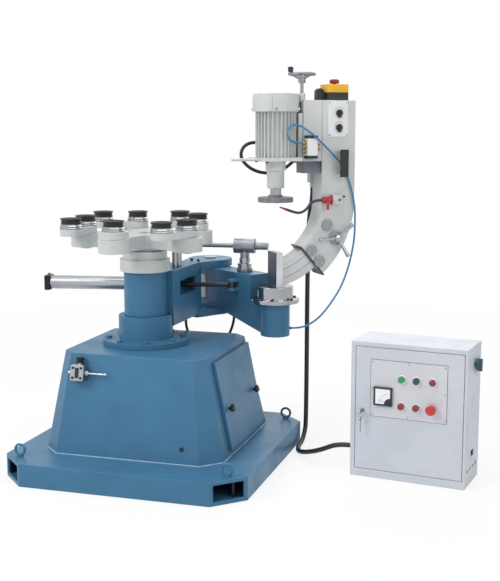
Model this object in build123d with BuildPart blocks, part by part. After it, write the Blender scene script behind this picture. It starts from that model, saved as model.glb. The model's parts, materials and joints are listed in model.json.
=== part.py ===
"""Arm type glass edge grinder with a suction turntable and a separate control cabinet.

Origin: the turntable's axis at floor level. +X to the operator's right, +Y away, +Z up.
"""

import math
import os

from build123d import *

os.makedirs("parts", exist_ok=True)

# ---------------------------------------------------------------- clearances
running = 0.05  # radial play of a shaft in its bore
face_gap = 0.3  # play between faces that slide past each other
thread_play = 0.1

# ---------------------------------------------------------------- plinth and housing
plinth_x, plinth_y = 70, -25
plinth_width, plinth_depth, plinth_height = 1000, 1012, 92
plinth_chamfer = 112
plinth_plate = 10
plinth_wall = 8
corner_opening_width = 128
corner_opening_low, corner_opening_high = 16, 78
anchor_spacing_x, anchor_spacing_y = 850, 862
anchor_hole_radius = 9
leveling_spacing_x, leveling_spacing_y = 880, 772
leveling_radius, leveling_length = 8, 62
eye_spacing_x, eye_spacing_y = 856, 830
eye_ring_radius, eye_wire_radius = 20, 5

housing_x, housing_y = 60, 5
housing_base_width, housing_base_depth, housing_base_chamfer = 746, 742, 73
housing_top_shift = -10
housing_top_width, housing_top_depth, housing_top_chamfer = 606, 570, 48
housing_top = 484
housing_wall = 8

cover_y, cover_width = 15, 440
cover_low, cover_length = 20, 355
cover_thickness, cover_sheet = 14, 3
cover_margin, knob_bar_width = 26, 44
cover_knob_spread, cover_knob_height = 165, 178
cover_knob_radius, cover_knob_length = 17, 24
cover_stud_radius = 5

# ---------------------------------------------------------------- column and turntable
flange_radius, flange_thickness = 178, 23
flange_bolt_circle, flange_bolt_count, flange_bolt_radius = 152, 8, 7
collar_radius, collar_top = 112, 603
tube_radius, tube_top = 62, 870
tube_bore = 38
land_length = 40
drum_radius = 88
drum_top = 784.7
ring_radius, ring_height = 103, 51
cap_ring_radius = 91
table_shaft_radius = 28
drive_shaft_radius, drive_shaft_bottom = 20, 360
table_flange_radius = 75
star_bottom, star_top = 883, 940
hub_radius = 80
pivot_circle, pivot_angle, pivot_count = 245, -97, 5
spoke_width = 84
pivot_boss_radius = 62
pivot_pin_radius, pivot_head_radius, pivot_head_height = 12, 20, 8
bar_thickness, bar_width, bar_length = 27.7, 90, 148
cup_seat_radius, cup_seat_height = 45, 20
pad_radius, pad_height = 40, 22
pad_dish_radius, pad_dish_depth = 33, 4
bar_angles = [249.3, 140.6, 200.2, 272.2]
fixed_disc_radius = 60

gearbox_width, gearbox_depth, gearbox_height = 170, 150, 108
table_motor_radius, table_motor_length = 48, 125

# ---------------------------------------------------------------- hand valve on the housing
valve_x, valve_z = -155, 408
valve_width, valve_height, valve_depth = 56, 62, 44
valve_knob_radius, valve_knob_height = 14, 30
valve_lever_radius, valve_lever_length = 4.5, 78
valve_stem_radius, valve_stem_depth = 6, 24

# ---------------------------------------------------------------- first arm
arm_direction = 76.2
elbow_distance = 494.3
arm_base_half_width, arm_base_start = 108, 46
arm_end_half_width, arm_web_end = 36, 366
arm_wall, arm_shelf = 12, 10
arm_low = 555
ear_thickness, ear_radius, ear_root = 33, 98, 40
lower_ear_bottom = 540
elbow_pin_radius, elbow_pin_head = 17, 26
pin_head_height, pin_end = 6, 14
post_radius, post_height = 12.5, 78
post_t, post_s, post_spacing = 170, 41, 30

# ---------------------------------------------------------------- air cylinder of the arm
cylinder_x, cylinder_y, cylinder_z = 20, 210, 700
lug_along, lug_out = 268.8, 76
cylinder_block = 64
cylinder_block_length = 50
cylinder_radius, cylinder_bore = 29, 26
cylinder_length, cylinder_cap_length = 490, 25
trunnion_radius, trunnion_length = 12, 9
rod_radius, rod_hole_play = 10, 1.6
rod_reach = 385
piston_radius, piston_length = 22, 25
eye_radius, eye_height, lug_pin_radius = 16, 24, 8
lug_thickness = 13
window_start, window_end = 122, 304

# ---------------------------------------------------------------- second arm
elbow_link_direction = -36.2
boss_distance = 473.6
link_half_width, link_wall = 50, 12
link_slope_start = 152
link_start, link_end = 46, 366
knuckle_radius, knuckle_height = 46, 33
link_low = 515
boss_radius, boss_bottom, boss_top = 61, 505, 645
swivel_shaft_radius = 30
clamp_post_distance = 261

# ---------------------------------------------------------------- guide rod and its clamp
clamp_post_radius, clamp_foot_radius, clamp_foot_height = 20, 34, 12
clamp_radius, clamp_length, clamp_z = 31, 92, 862
clamp_direction = 5
clamp_foot_pin_radius, clamp_foot_pin_length = 10, 20
guide_rod_radius, guide_rod_right = 16, 102
screw_rod_radius, screw_rod_left = 9.5, 194
screw_rod_start = 49

# ---------------------------------------------------------------- swivel and head frame
head_direction = 37
swivel_flange_radius, swivel_flange_height = 100, 17
bearing_radius, bearing_top = 75, 714
pivot_plate_thickness, pivot_plate_width, pivot_plate_top = 29, 100, 857
arc_u, arc_z = -72, 1071
arc_wide = 400
rail_inner, rail_outer, rail_half = 269, 365, 38
rail_end_angle = 85
casing_inner, casing_outer, casing_half = 258, 407, 50
casing_start_angle = 41
casing_wall = 10.5
column_wall = 10
column_top = 1477
rail_play = 0.5
rail_room_angle = 103.5
roller_radius, roller_height = 24, 8
roller_places = [(301, 69.4), (298, 45.5), (357, 44.2)]
lock_radius_place, lock_angle = 358, 63.5
lock_boss_radius, lock_boss_height = 29, 14
lock_stem_radius = 8
lock_hub_radius, lock_hub_length = 19, 26
lock_spoke_turns = [145, 28, 262]
lock_spoke_radius, lock_spoke_length, lock_ball_radius = 5, 62, 10

# ---------------------------------------------------------------- slide box, handwheel, screw
slide_left = 103
slide_half, slide_bottom = 46, 1230
support_left, support_half, support_bottom = 108, 40, 1180
slide_floor, slide_roof = 25, 10
slot_half, slot_depth = 20, 25
screw_u, screw_radius = 114, 7
nose_radius, nose_height = 14, 28
wheel_rim_radius, wheel_rim_wire, wheel_rim_z = 50, 7.5, column_top + 105
wheel_hub_radius, wheel_hub_bottom, wheel_hub_top = 15, column_top + 69, column_top + 95
crank_radius, crank_length = 9, 18
wheel_spoke_radius = 5

# ---------------------------------------------------------------- motor slide and spindle
dovetail_left, dovetail_half = 84, 40
dovetail_low, dovetail_top, dovetail_drop = 1246, 1430, 6
nut_low, nut_top, nut_half = 1300, 1340, 17
motor_plate_half, motor_plate_bottom = 88, 1231
motor_plate_right, plate_tongue_half = 86, 48
stay_rod_radius, stay_rod_length, stay_rod_n = 6, 118, 40
motor_core_radius, fin_radius, fin_count, fin_thickness = 72, 82.5, 30, 3.5
cowl_radius, cowl_top = 94, 1501
terminal_width, terminal_depth, terminal_height = 70, 60, 90
neck_radius, neck_bottom = 41.5, motor_plate_bottom - 39
nose_housing_radius, nose_housing_bottom = 35, motor_plate_bottom - 111
spindle_radius, spindle_top = 15, 1300
collet_radius = 23
grinding_wheel_radius, grinding_wheel_bottom, grinding_wheel_height = 72.5, nose_housing_bottom - 57, 20
wheel_seat_radius, wheel_seat_height = 30, 9
wheel_recess_radius, wheel_recess_depth = 52, 10

# ---------------------------------------------------------------- head controls
estop_left, estop_right, estop_half = 212, 307, 40
estop_base_height, estop_box_height = 32, 33
estop_stem_radius, estop_head_radius, estop_head_height = 8, 20, 18
estop_rise = 3.3
gland_left, gland_right, gland_half = 175, 208, 14
panel_left, panel_right, panel_low, panel_top = 210, 299, 1329, 1474
panel_thickness = 3
selector_u, selector_upper_z, selector_lower_z = 258, 1425, 1366
selector_radius, selector_height, selector_stem = 14, 20, 6
valve_block_u, valve_block_z = 130, 1288
valve_block_width, valve_block_height, valve_block_depth = 46, 70, 36
valve_end_height = 12
fitting_radius, fitting_length = 6, 16
grip_u, grip_low, grip_top, grip_radius = 266, 1165, 1277, 18
grip_stand, grip_arm = 44, 10
bracket_left, bracket_right, bracket_low, bracket_top = 225, 268, 1051, 1090
bracket_depth = 22
tap_radius, tap_left, tap_forward = 13, 180, 4
tap_stem_u, tap_stem_radius = 200, 4
tap_lever_width, tap_lever_length, tap_lever_thickness = 12, 46, 4

# ---------------------------------------------------------------- cabinet
cabinet_x, cabinet_y, cabinet_turn = 870, -12, -8
cabinet_width, cabinet_height, cabinet_depth = 461, 544, 215
cabinet_wall = 4
door_left, door_right, door_low, door_top = 20, 449, 34, 524
door_thickness, door_back_play = 16, 0.8
door_sheet, door_stop, door_play = 2.5, 10, 2
hinge_pin_radius, hinge_pin_length = 1.8, 14
hinge_inset, hinge_depth = 5, 3.5
hinge_block, hinge_block_height = 10, 14
plate_left, plate_right, plate_low, plate_top = 82, 385, 252, 477
plate_thickness = 2
plate_screw_radius, plate_screw_inset = 3, 8
meter_x, meter_z, meter_width, meter_height, meter_depth = 134, 335, 74, 74, 10
button_columns = {"left": 207, "right": 266}
button_rows = {"upper": 408, "lower": 302}
button_radius, button_height, button_stem_radius = 13, 9, 8
button_ring_radius, button_ring_play, button_ring_height = 16, 0.4, 5
button_rise, button_reach = 4, 8
lamp_x, lamp_z = 329, 408
cabinet_estop_x, cabinet_estop_z, cabinet_estop_radius = 329, 305, 20
key_x, key_z, key_radius = 49, 270, 6
key_ring_radius, key_ring_height = 10, 3
key_bow_radius, key_thickness, key_reach = 10, 2.4, 10
spare_key_length, spare_key_width = 44, 8
isolator_y, isolator_z, isolator_radius = 118, 468, 22
isolator_plate_width, isolator_plate_height, isolator_plate_thickness = 60, 68, 6
isolator_stem, isolator_height, isolator_grip = 5, 22, 12
vent_y, vent_z = 108, 62
inlet_y, inlet_z, inlet_width, inlet_height = 114, 119, 46, 25
back_plate_width, back_plate_height, back_plate_thickness = 400, 440, 2
standoff_radius, standoff_length = 6, 10
cable_gland_radius, cable_gland_length = 15, 20
cable_entry_y, cable_entry_z = 80, 95
vent_count, vent_spacing, vent_width, vent_height = 4, 44, 20, 13

# ---------------------------------------------------------------- cords
main_cable_radius = 10
air_hose_radius = 4
arm_cable_radius = 6
motor_cable_radius = 7
coolant_pipe_radius = 6
riser_u, riser_n, riser_join = 197, -120.4, 500
boss_port_direction = 16.9
clip_along, clip_side, clip_low = 150, 25, 575
clip_width, clip_height = 24, 22
entry_box_width, entry_box_height = 40, 50
entry_lip = 2
motor_entry_width, motor_entry_height = 34, 40


# ================================================================ helpers
def write(part, name):
    part.label = name
    export_step(part, f"parts/{name}.step")


def turned(angle):
    return Vector(math.cos(math.radians(angle)), math.sin(math.radians(angle)), 0)


def level(z, x=0, y=0, direction=0):
    """Horizontal plane through (x, y, z), its x axis turned to the direction."""
    return Plane(origin=(x, y, z), x_dir=turned(direction), z_dir=(0, 0, 1))


def cut_corners(plane, width, depth, cut):
    """Rectangle with its corners cut off."""
    with BuildSketch(plane) as outline:
        Rectangle(width, depth)
        chamfer(outline.vertices(), length=cut)
    return outline.sketch


def on_arc(radius, angle):
    turn = math.radians(angle)
    return (arc_u + radius * math.sin(turn), arc_z - radius * math.cos(turn))


def arc_sector(plane, inner, outer, start, end):
    """Ring sector about the tilting centre, its angles counted from straight down."""
    reach = 2 * outer
    with BuildSketch(plane) as sector:
        with Locations((arc_u, arc_z)):
            Circle(outer)
            Circle(inner, mode=Mode.SUBTRACT)
        Polygon(
            (arc_u, arc_z),
            on_arc(reach, start),
            on_arc(reach, (start + end) / 2),
            on_arc(reach, end),
            align=None,
            mode=Mode.INTERSECT,
        )
    return sector.sketch


def tube(name, points, radius):
    """Cord of straight runs and tangent arcs, each arc as large as its runs allow."""
    corners = [Vector(point) for point in points]
    radii = []
    for before, corner, after in zip(corners, corners[1:], corners[2:]):
        turn = math.radians((corner - before).get_angle(after - corner))
        shorter = min((corner - before).length, (after - corner).length)
        radii.append(0.45 * shorter / math.tan(turn / 2))
    with BuildPart() as cord:
        with BuildLine() as route:
            FilletPolyline(*corners, radius=radii)
        with BuildSketch(Plane(origin=route.wire() @ 0, z_dir=route.wire() % 0)):
            Circle(radius)
        sweep()
    length = route.wire().length
    section = math.pi * radius**2
    print(name, "length", round(length), "volume ratio", round(cord.part.volume / length / section, 4))
    print("  radii", [round(value) for value in radii])
    return cord


low = (Align.CENTER, Align.CENTER, Align.MIN)
high = (Align.CENTER, Align.CENTER, Align.MAX)

# ================================================================ frames of the piece groups
ground = level(0)
arm = level(0, direction=arm_direction)
elbow = arm.from_local_coords((elbow_distance, 0, 0))
link = level(0, elbow.X, elbow.Y, elbow_link_direction)
boss = link.from_local_coords((boss_distance, 0, 0))
head = level(0, boss.X, boss.Y, head_direction)
trunnion = Vector(cylinder_x, cylinder_y, cylinder_z)
lug = link.from_local_coords((lug_along, -lug_out, cylinder_z))
rod_direction = math.degrees(math.atan2(lug.Y - trunnion.Y, lug.X - trunnion.X))
cabinet = level(0, cabinet_x, cabinet_y, cabinet_turn)


def head_front(n):
    """Upright plane of the head, n in front of its middle, with coordinates (u, z)."""
    return Plane(
        origin=head.from_local_coords((0, -n, 0)),
        x_dir=turned(head_direction),
        z_dir=turned(head_direction - 90),
    )


def head_point(u, n, z):
    return head.from_local_coords((u, -n, z))


boss_port = Plane(
    origin=(boss.X, boss.Y, 534.6),
    x_dir=(0, 0, 1),
    z_dir=turned(boss_port_direction),
)
ear_gland = Vector(50, 340, lower_ear_bottom)
link_clip = link.from_local_coords((clip_along, clip_side, clip_low))
terminal_left = -terminal_width / 2
motor_gland_n, motor_gland_z, motor_gland_length = -93, 1305, 12
motor_entry_u, motor_entry_n, motor_entry_bottom = 134, -70, 1300
entry_n, entry_bottom = -72, 1116
hose_start_u = valve_block_u - valve_block_width / 2 - fitting_length
hose_start_n = slide_half + valve_block_depth / 2
hose_start_z = valve_block_z + valve_block_height / 4


def cabinet_front(depth):
    """Upright plane at a depth behind the cabinet's front, with coordinates (x, z)."""
    return Plane(
        origin=cabinet.from_local_coords((0, depth, 0)),
        x_dir=turned(cabinet_turn),
        z_dir=turned(cabinet_turn - 90),
    )


print("elbow", elbow, "boss", boss, "lug", lug, "rod direction", rod_direction)

# ================================================================ plinth
inner_height = plinth_height - 2 * plinth_plate
with BuildPart() as plinth:
    outline = cut_corners(level(0, plinth_x, plinth_y), plinth_width, plinth_depth, plinth_chamfer)
    extrude(outline, amount=plinth_height)
    hollow = cut_corners(
        level(plinth_plate, plinth_x, plinth_y),
        plinth_width - 2 * plinth_wall,
        plinth_depth - 2 * plinth_wall,
        plinth_chamfer,
    )
    extrude(hollow, amount=inner_height, mode=Mode.SUBTRACT)
    for side_x in (-1, 1):
        for side_y in (-1, 1):
            corner_x = plinth_x + side_x * (plinth_width - plinth_chamfer) / 2
            corner_y = plinth_y + side_y * (plinth_depth - plinth_chamfer) / 2
            facing = math.degrees(math.atan2(side_y, side_x))
            opening = level(corner_opening_low, corner_x, corner_y, facing)
            with Locations(opening):
                Box(
                    6 * plinth_wall,
                    corner_opening_width,
                    corner_opening_high - corner_opening_low,
                    align=low,
                    mode=Mode.SUBTRACT,
                )
    with BuildSketch(level(0, plinth_x, plinth_y)):
        with GridLocations(anchor_spacing_x, anchor_spacing_y, 2, 2):
            Circle(anchor_hole_radius)
        with GridLocations(leveling_spacing_x, leveling_spacing_y, 2, 2):
            Circle(leveling_radius)
    extrude(amount=plinth_plate, mode=Mode.SUBTRACT)
write(plinth.part, "plinth_frame")

# ================================================================ housing
half_base = housing_base_width / 2
half_top = housing_top_width / 2
housing_rise = housing_top - plinth_height
side_lean = math.degrees(math.atan2(half_base - half_top - housing_top_shift, housing_rise))
front_lean = math.degrees(math.atan2((housing_base_depth - housing_top_depth) / 2, housing_rise))
# Upright face on the operator's right: x along +Y, y up the slope.
side_face = Plane(
    origin=(housing_x + half_base, cover_y, plinth_height),
    x_dir=(0, 1, 0),
    z_dir=(math.cos(math.radians(side_lean)), 0, math.sin(math.radians(side_lean))),
)
with BuildPart() as housing:
    for trim, mode in ((0, Mode.ADD), (housing_wall, Mode.SUBTRACT)):
        loft(
            sections=[
                cut_corners(
                    level(plinth_height, housing_x, housing_y),
                    housing_base_width - 2 * trim,
                    housing_base_depth - 2 * trim,
                    housing_base_chamfer,
                ),
                cut_corners(
                    level(housing_top - trim, housing_x + housing_top_shift, housing_y),
                    housing_top_width - 2 * trim,
                    housing_top_depth - 2 * trim,
                    housing_top_chamfer,
                ),
            ],
            mode=mode,
        )
    with BuildSketch(level(housing_top - housing_wall)):
        Circle(drive_shaft_radius + 4)
    extrude(amount=housing_wall, mode=Mode.SUBTRACT)
    with BuildSketch(side_face):
        with Locations((0, cover_low + cover_length / 2)):
            Rectangle(cover_width - 2 * cover_margin, cover_length - 2 * cover_margin)
        with Locations((0, cover_knob_height)):
            Rectangle(cover_width, knob_bar_width, mode=Mode.SUBTRACT)
        with Locations((-cover_knob_spread, cover_knob_height), (cover_knob_spread, cover_knob_height)):
            Circle(cover_stud_radius + running)
    extrude(amount=2 * housing_wall, both=True, mode=Mode.SUBTRACT)
write(housing.part, "base_housing")

# ================================================================ access cover and its knobs
with BuildPart() as cover:
    with BuildSketch(side_face.offset(face_gap)):
        with Locations((0, cover_low + cover_length / 2)):
            Rectangle(cover_width, cover_length)
    extrude(amount=cover_thickness)
    with BuildSketch(side_face.offset(face_gap)):
        with Locations((0, cover_low + cover_length / 2)):
            Rectangle(cover_width - 2 * cover_sheet, cover_length - 2 * cover_sheet)
    extrude(amount=cover_thickness - cover_sheet, mode=Mode.SUBTRACT)
    with BuildSketch(side_face.offset(face_gap)):
        with Locations((-cover_knob_spread, cover_knob_height), (cover_knob_spread, cover_knob_height)):
            Circle(cover_stud_radius + running)
    extrude(amount=2 * cover_thickness, mode=Mode.SUBTRACT)
write(cover.part, "access_cover")

cover_face = face_gap + cover_thickness
for side, name in ((-1, "cover_knob_front"), (1, "cover_knob_rear")):
    with BuildPart() as knob:
        with BuildSketch(side_face.offset(cover_face + face_gap)):
            with Locations((side * cover_knob_spread, cover_knob_height)):
                RegularPolygon(cover_knob_radius, 3)
                Circle(cover_knob_radius * 0.7)
        extrude(amount=cover_knob_length)
        with BuildSketch(side_face.offset(-housing_wall)):
            with Locations((side * cover_knob_spread, cover_knob_height)):
                Circle(cover_stud_radius)
        extrude(amount=housing_wall + cover_face + face_gap)
    write(knob.part, name)

# ================================================================ bolts and lifting eyes
nut_radius, nut_height = 15, 13
bolt_head_height = 9
with BuildPart() as bolts:
    with BuildSketch(level(housing_top + flange_thickness)):
        with PolarLocations(flange_bolt_circle, flange_bolt_count, start_angle=22.5):
            RegularPolygon(flange_bolt_radius * 1.8, 6)
    extrude(amount=bolt_head_height)
    with BuildSketch(level(housing_top)):
        with PolarLocations(flange_bolt_circle, flange_bolt_count, start_angle=22.5):
            Circle(flange_bolt_radius)
    extrude(amount=flange_thickness)
    with BuildSketch(level(0, plinth_x, plinth_y)):
        with GridLocations(leveling_spacing_x, leveling_spacing_y, 2, 2):
            Circle(leveling_radius)
    extrude(amount=leveling_length)
    with BuildSketch(level(plinth_plate, plinth_x, plinth_y)):
        with GridLocations(leveling_spacing_x, leveling_spacing_y, 2, 2):
            RegularPolygon(nut_radius, 6)
    extrude(amount=nut_height)
write(bolts.part, "base_bolts")

with BuildPart() as eyes:
    with Locations(level(plinth_height, plinth_x, plinth_y)):
        with GridLocations(eye_spacing_x, eye_spacing_y, 2, 2):
            Cylinder(2.6 * eye_wire_radius, eye_wire_radius, align=low)
    ring_centre = plinth_height + eye_wire_radius + eye_ring_radius + eye_wire_radius / 2
    for eye_x in (-eye_spacing_x / 2, eye_spacing_x / 2):
        for eye_y in (-eye_spacing_y / 2, eye_spacing_y / 2):
            ring_plane = Plane(
                origin=(plinth_x + eye_x, plinth_y + eye_y, ring_centre),
                x_dir=(1, 0, 0),
                z_dir=(0, -1, 0),
            )
            with Locations(ring_plane):
                Torus(eye_ring_radius, eye_wire_radius)
write(eyes.part, "lifting_eyes")

# ================================================================ column
with BuildPart() as column:
    with Locations(level(housing_top)):
        Cylinder(flange_radius, flange_thickness, align=low)
        Cylinder(collar_radius, collar_top - housing_top, align=low)
        Cylinder(tube_radius, tube_top - housing_top, align=low)
        Cylinder(tube_bore, tube_top - housing_top, align=low, mode=Mode.SUBTRACT)
    for land_bottom in (housing_top, tube_top - land_length):
        with Locations(level(land_bottom)):
            Cylinder(tube_bore, land_length, align=low)
            Cylinder(table_shaft_radius + running, land_length, align=low, mode=Mode.SUBTRACT)
    with BuildSketch(level(housing_top)):
        with PolarLocations(flange_bolt_circle, flange_bolt_count, start_angle=22.5):
            Circle(flange_bolt_radius)
    extrude(amount=flange_thickness, mode=Mode.SUBTRACT)

ring_bottom = drum_top + face_gap
with BuildPart() as rings:
    with Locations(level(ring_bottom)):
        Cylinder(ring_radius, ring_height, align=low)
        Cylinder(cap_ring_radius, tube_top - ring_bottom, align=low)
        Cylinder(tube_radius, tube_top - ring_bottom, align=low, mode=Mode.SUBTRACT)
write(Compound(children=[column.part, rings.part]), "column_base")

# ================================================================ turntable drive
gearbox_top = housing_top - housing_wall
with BuildPart() as drive:
    with Locations(level(gearbox_top)):
        Box(gearbox_width, gearbox_depth, gearbox_height, align=high)
    motor_plane = Plane(
        origin=(-gearbox_width / 2, 0, gearbox_top - gearbox_height / 2),
        x_dir=(0, 1, 0),
        z_dir=(-1, 0, 0),
    )
    with Locations(motor_plane):
        Cylinder(gearbox_height / 2 - 6, 20, align=low)
    with Locations(motor_plane.offset(20)):
        Cylinder(table_motor_radius, table_motor_length, align=low)
    with BuildSketch(level(gearbox_top)):
        Circle(drive_shaft_radius + running)
    extrude(amount=-gearbox_height, mode=Mode.SUBTRACT)
write(drive.part, "table_gearmotor")

# ================================================================ turntable
with BuildPart() as shaft:
    with Locations(level(drive_shaft_bottom)):
        Cylinder(drive_shaft_radius, housing_top - drive_shaft_bottom, align=low)
    with Locations(level(housing_top)):
        Cylinder(table_shaft_radius, star_top - housing_top, align=low)
    with Locations(level(tube_top + face_gap)):
        Cylinder(table_flange_radius, star_bottom - tube_top - face_gap, align=low)
write(shaft.part, "table_shaft")

pivot_turns = [pivot_angle + index * 360 / pivot_count for index in range(pivot_count)]
pivots = [turned(turn) * pivot_circle for turn in pivot_turns]
with BuildPart() as star:
    with BuildSketch(level(star_bottom)):
        Circle(hub_radius)
        for turn, pivot in zip(pivot_turns, pivots):
            with Locations((pivot.X, pivot.Y)):
                Circle(pivot_boss_radius)
            with Locations(Location((pivot.X / 2, pivot.Y / 2, 0), (0, 0, turn))):
                Rectangle(pivot_circle, spoke_width)
        Circle(table_shaft_radius, mode=Mode.SUBTRACT)
        for pivot in pivots[1:]:
            with Locations((pivot.X, pivot.Y)):
                Circle(pivot_pin_radius + running, mode=Mode.SUBTRACT)
    extrude(amount=star_top - star_bottom)
    with Locations((pivots[0].X, pivots[0].Y, star_top)):
        Cylinder(fixed_disc_radius, bar_thickness + face_gap, align=low)

seat_bottom = star_top + face_gap + bar_thickness


def suction_cup(place):
    """Metal seat and rubber pad of one cup, as two solids."""
    with BuildPart() as cup:
        with Locations((place.X, place.Y, seat_bottom)):
            Cylinder(cup_seat_radius, cup_seat_height, align=low)
    with BuildPart() as pad:
        with Locations((place.X, place.Y, seat_bottom + cup_seat_height)):
            Cylinder(pad_radius, pad_height, align=low)
        with Locations((place.X, place.Y, seat_bottom + cup_seat_height + pad_height)):
            Cylinder(pad_dish_radius, pad_dish_depth, align=high, mode=Mode.SUBTRACT)
    return [cup.part, pad.part]


write(Compound(children=[star.part, *suction_cup(pivots[0])]), "table_star")
for number, (pivot, angle) in enumerate(zip(pivots[1:], bar_angles), start=1):
    tip = pivot + turned(angle) * bar_length
    with BuildPart() as bar:
        with BuildSketch(level(star_top + face_gap, pivot.X, pivot.Y, angle)):
            with Locations((bar_length / 2, 0)):
                SlotCenterToCenter(bar_length, bar_width)
        extrude(amount=bar_thickness)
        with Locations((pivot.X, pivot.Y, star_bottom - face_gap)):
            Cylinder(pivot_pin_radius, star_top - star_bottom + 2 * face_gap, align=low)
            Cylinder(pivot_head_radius, pivot_head_height, align=high)
    cups = suction_cup(pivot) + suction_cup(tip)
    write(Compound(children=[bar.part, *cups]), f"pad_bar_{number}")

# ================================================================ hand valve on the housing
front_y = housing_y - housing_base_depth / 2
front_face = Plane(
    origin=(valve_x, front_y, plinth_height),
    x_dir=(1, 0, 0),
    z_dir=(0, -math.cos(math.radians(front_lean)), math.sin(math.radians(front_lean))),
)
valve_rise = (valve_z - plinth_height) / math.cos(math.radians(front_lean))
valve_top = valve_rise + valve_height / 2
valve_middle = valve_depth / 2
with BuildPart() as valve:
    with BuildSketch(front_face):
        with Locations((0, valve_rise)):
            RectangleRounded(valve_width, valve_height, 6)
    extrude(amount=valve_depth)
    knob_axis = Plane(
        origin=front_face.from_local_coords((0, valve_top, valve_middle)),
        x_dir=(1, 0, 0),
        z_dir=front_face.y_dir,
    )
    with Locations(knob_axis):
        Cylinder(0.5 * valve_knob_radius, valve_knob_height, align=low)
    with Locations(knob_axis.offset(0.4 * valve_knob_height)):
        Cone(0.6 * valve_knob_radius, valve_knob_radius, 0.6 * valve_knob_height, align=low)
    port_axis = Plane(
        origin=front_face.from_local_coords((-valve_width / 2, valve_rise, valve_middle)),
        x_dir=(0, 0, 1),
        z_dir=(-1, 0, 0),
    )
    with Locations(port_axis):
        Cylinder(fitting_radius + 2, fitting_length, align=low)
    lever_axis = Plane(
        origin=front_face.from_local_coords((valve_width / 2, valve_rise, valve_middle)),
        x_dir=(0, 0, 1),
        z_dir=(1, 0, 0),
    )
    with Locations(lever_axis):
        Cylinder(valve_stem_radius + running, valve_stem_depth, align=high, mode=Mode.SUBTRACT)
write(valve.part, "hand_valve")

with BuildPart() as valve_lever:
    with Locations(lever_axis.offset(-valve_stem_depth)):
        Cylinder(valve_stem_radius, valve_stem_depth + 3 * face_gap, align=low)
    with Locations(lever_axis.offset(face_gap)):
        Cylinder(2 * valve_stem_radius, 2 * valve_stem_radius, align=low)
    with Locations(lever_axis.offset(valve_stem_radius)):
        Cylinder(valve_lever_radius, valve_lever_length, align=low)
    with Locations(lever_axis.offset(valve_stem_radius + valve_lever_length)):
        Sphere(1.7 * valve_lever_radius)
write(valve_lever.part, "valve_lever")

# ================================================================ first arm
taper = (arm_base_half_width - arm_end_half_width) / (arm_web_end - arm_base_start)


def web_half_width(distance):
    return arm_base_half_width - taper * (distance - arm_base_start)


def arm_web(start, trim):
    """Plan of the tapered arm box from a distance on, its walls moved in by a trim."""
    near, far = web_half_width(start) - trim, arm_end_half_width - trim
    outline = [(start, near), (start, -near), (arm_web_end - trim, -far), (arm_web_end - trim, far)]
    return outline


ear_top = drum_top
ear_bottom = ear_top - ear_thickness
web_low_start = collar_radius + 2
with BuildPart() as arm_body:
    with Locations(level(collar_top + face_gap)):
        Cylinder(drum_radius, drum_top - collar_top - face_gap, align=low)
    with BuildSketch(arm.offset(collar_top + face_gap)):
        Polygon(*arm_web(arm_base_start, 0), align=None)
    extrude(amount=drum_top - collar_top - face_gap)
    with BuildSketch(arm.offset(arm_low)):
        Polygon(*arm_web(arm_base_start, 0), align=None)
        Circle(web_low_start, mode=Mode.SUBTRACT)
    extrude(amount=collar_top - arm_low + face_gap)
    with BuildSketch(arm.offset(arm_low + arm_wall)):
        Polygon(*arm_web(drum_radius + 2 * arm_wall, arm_wall), align=None)
        Circle(web_low_start + arm_wall, mode=Mode.SUBTRACT)
    extrude(amount=drum_top - arm_low - 2 * arm_wall, mode=Mode.SUBTRACT)
    for shelf_bottom in (
        cylinder_z - cylinder_block / 2 - arm_shelf - face_gap,
        cylinder_z + cylinder_block / 2 + face_gap,
    ):
        with BuildSketch(arm.offset(shelf_bottom)):
            Polygon(*arm_web(web_low_start, arm_wall / 2), align=None)
        extrude(amount=arm_shelf)
    window_height = cylinder_block + 2 * face_gap
    with BuildSketch(arm.offset(cylinder_z - window_height / 2)):
        with Locations(((window_start + window_end) / 2, 0)):
            Rectangle(window_end - window_start, 4 * arm_base_half_width)
    extrude(amount=window_height, mode=Mode.SUBTRACT)
    for ear_low, ear_high in ((ear_bottom, ear_top), (lower_ear_bottom, lower_ear_bottom + ear_thickness)):
        with BuildSketch(arm.offset(ear_low)):
            with Locations((elbow_distance, 0)):
                Circle(ear_radius)
            Polygon(
                (arm_web_end - ear_root, web_half_width(arm_web_end - ear_root)),
                (arm_web_end - ear_root, -web_half_width(arm_web_end - ear_root)),
                (elbow_distance, -ear_radius),
                (elbow_distance, ear_radius),
                align=None,
            )
        extrude(amount=ear_high - ear_low)
    with Locations((elbow.X, elbow.Y, lower_ear_bottom)):
        Cylinder(elbow_pin_radius, drum_top - lower_ear_bottom, align=low, mode=Mode.SUBTRACT)
    with Locations((trunnion.X, trunnion.Y, cylinder_z)):
        Cylinder(trunnion_radius + running, window_height + 2 * arm_shelf, mode=Mode.SUBTRACT)
    with Locations(level(collar_top)):
        Cylinder(tube_radius + running, drum_top - collar_top, align=low, mode=Mode.SUBTRACT)
    with Locations(ear_gland):
        Cylinder(1.5 * arm_cable_radius, cable_gland_length / 2, align=high)
write(arm_body.part, "arm_link")

with BuildPart() as pins:
    with Locations((elbow.X, elbow.Y, lower_ear_bottom - pin_end)):
        Cylinder(elbow_pin_radius, ear_top - lower_ear_bottom + pin_end, align=low)
    with Locations((elbow.X, elbow.Y, ear_top)):
        Cylinder(elbow_pin_head, pin_head_height, align=low)
    with Locations((elbow.X, elbow.Y, lower_ear_bottom)):
        Cylinder(elbow_pin_head, pin_head_height, align=high)
    for side in (-1, 1):
        with Locations(arm.offset(ear_top)):
            with Locations((post_t + side * post_spacing / 2, -post_s)):
                Cylinder(post_radius, post_height, align=low)
write(pins.part, "arm_pins")

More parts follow.
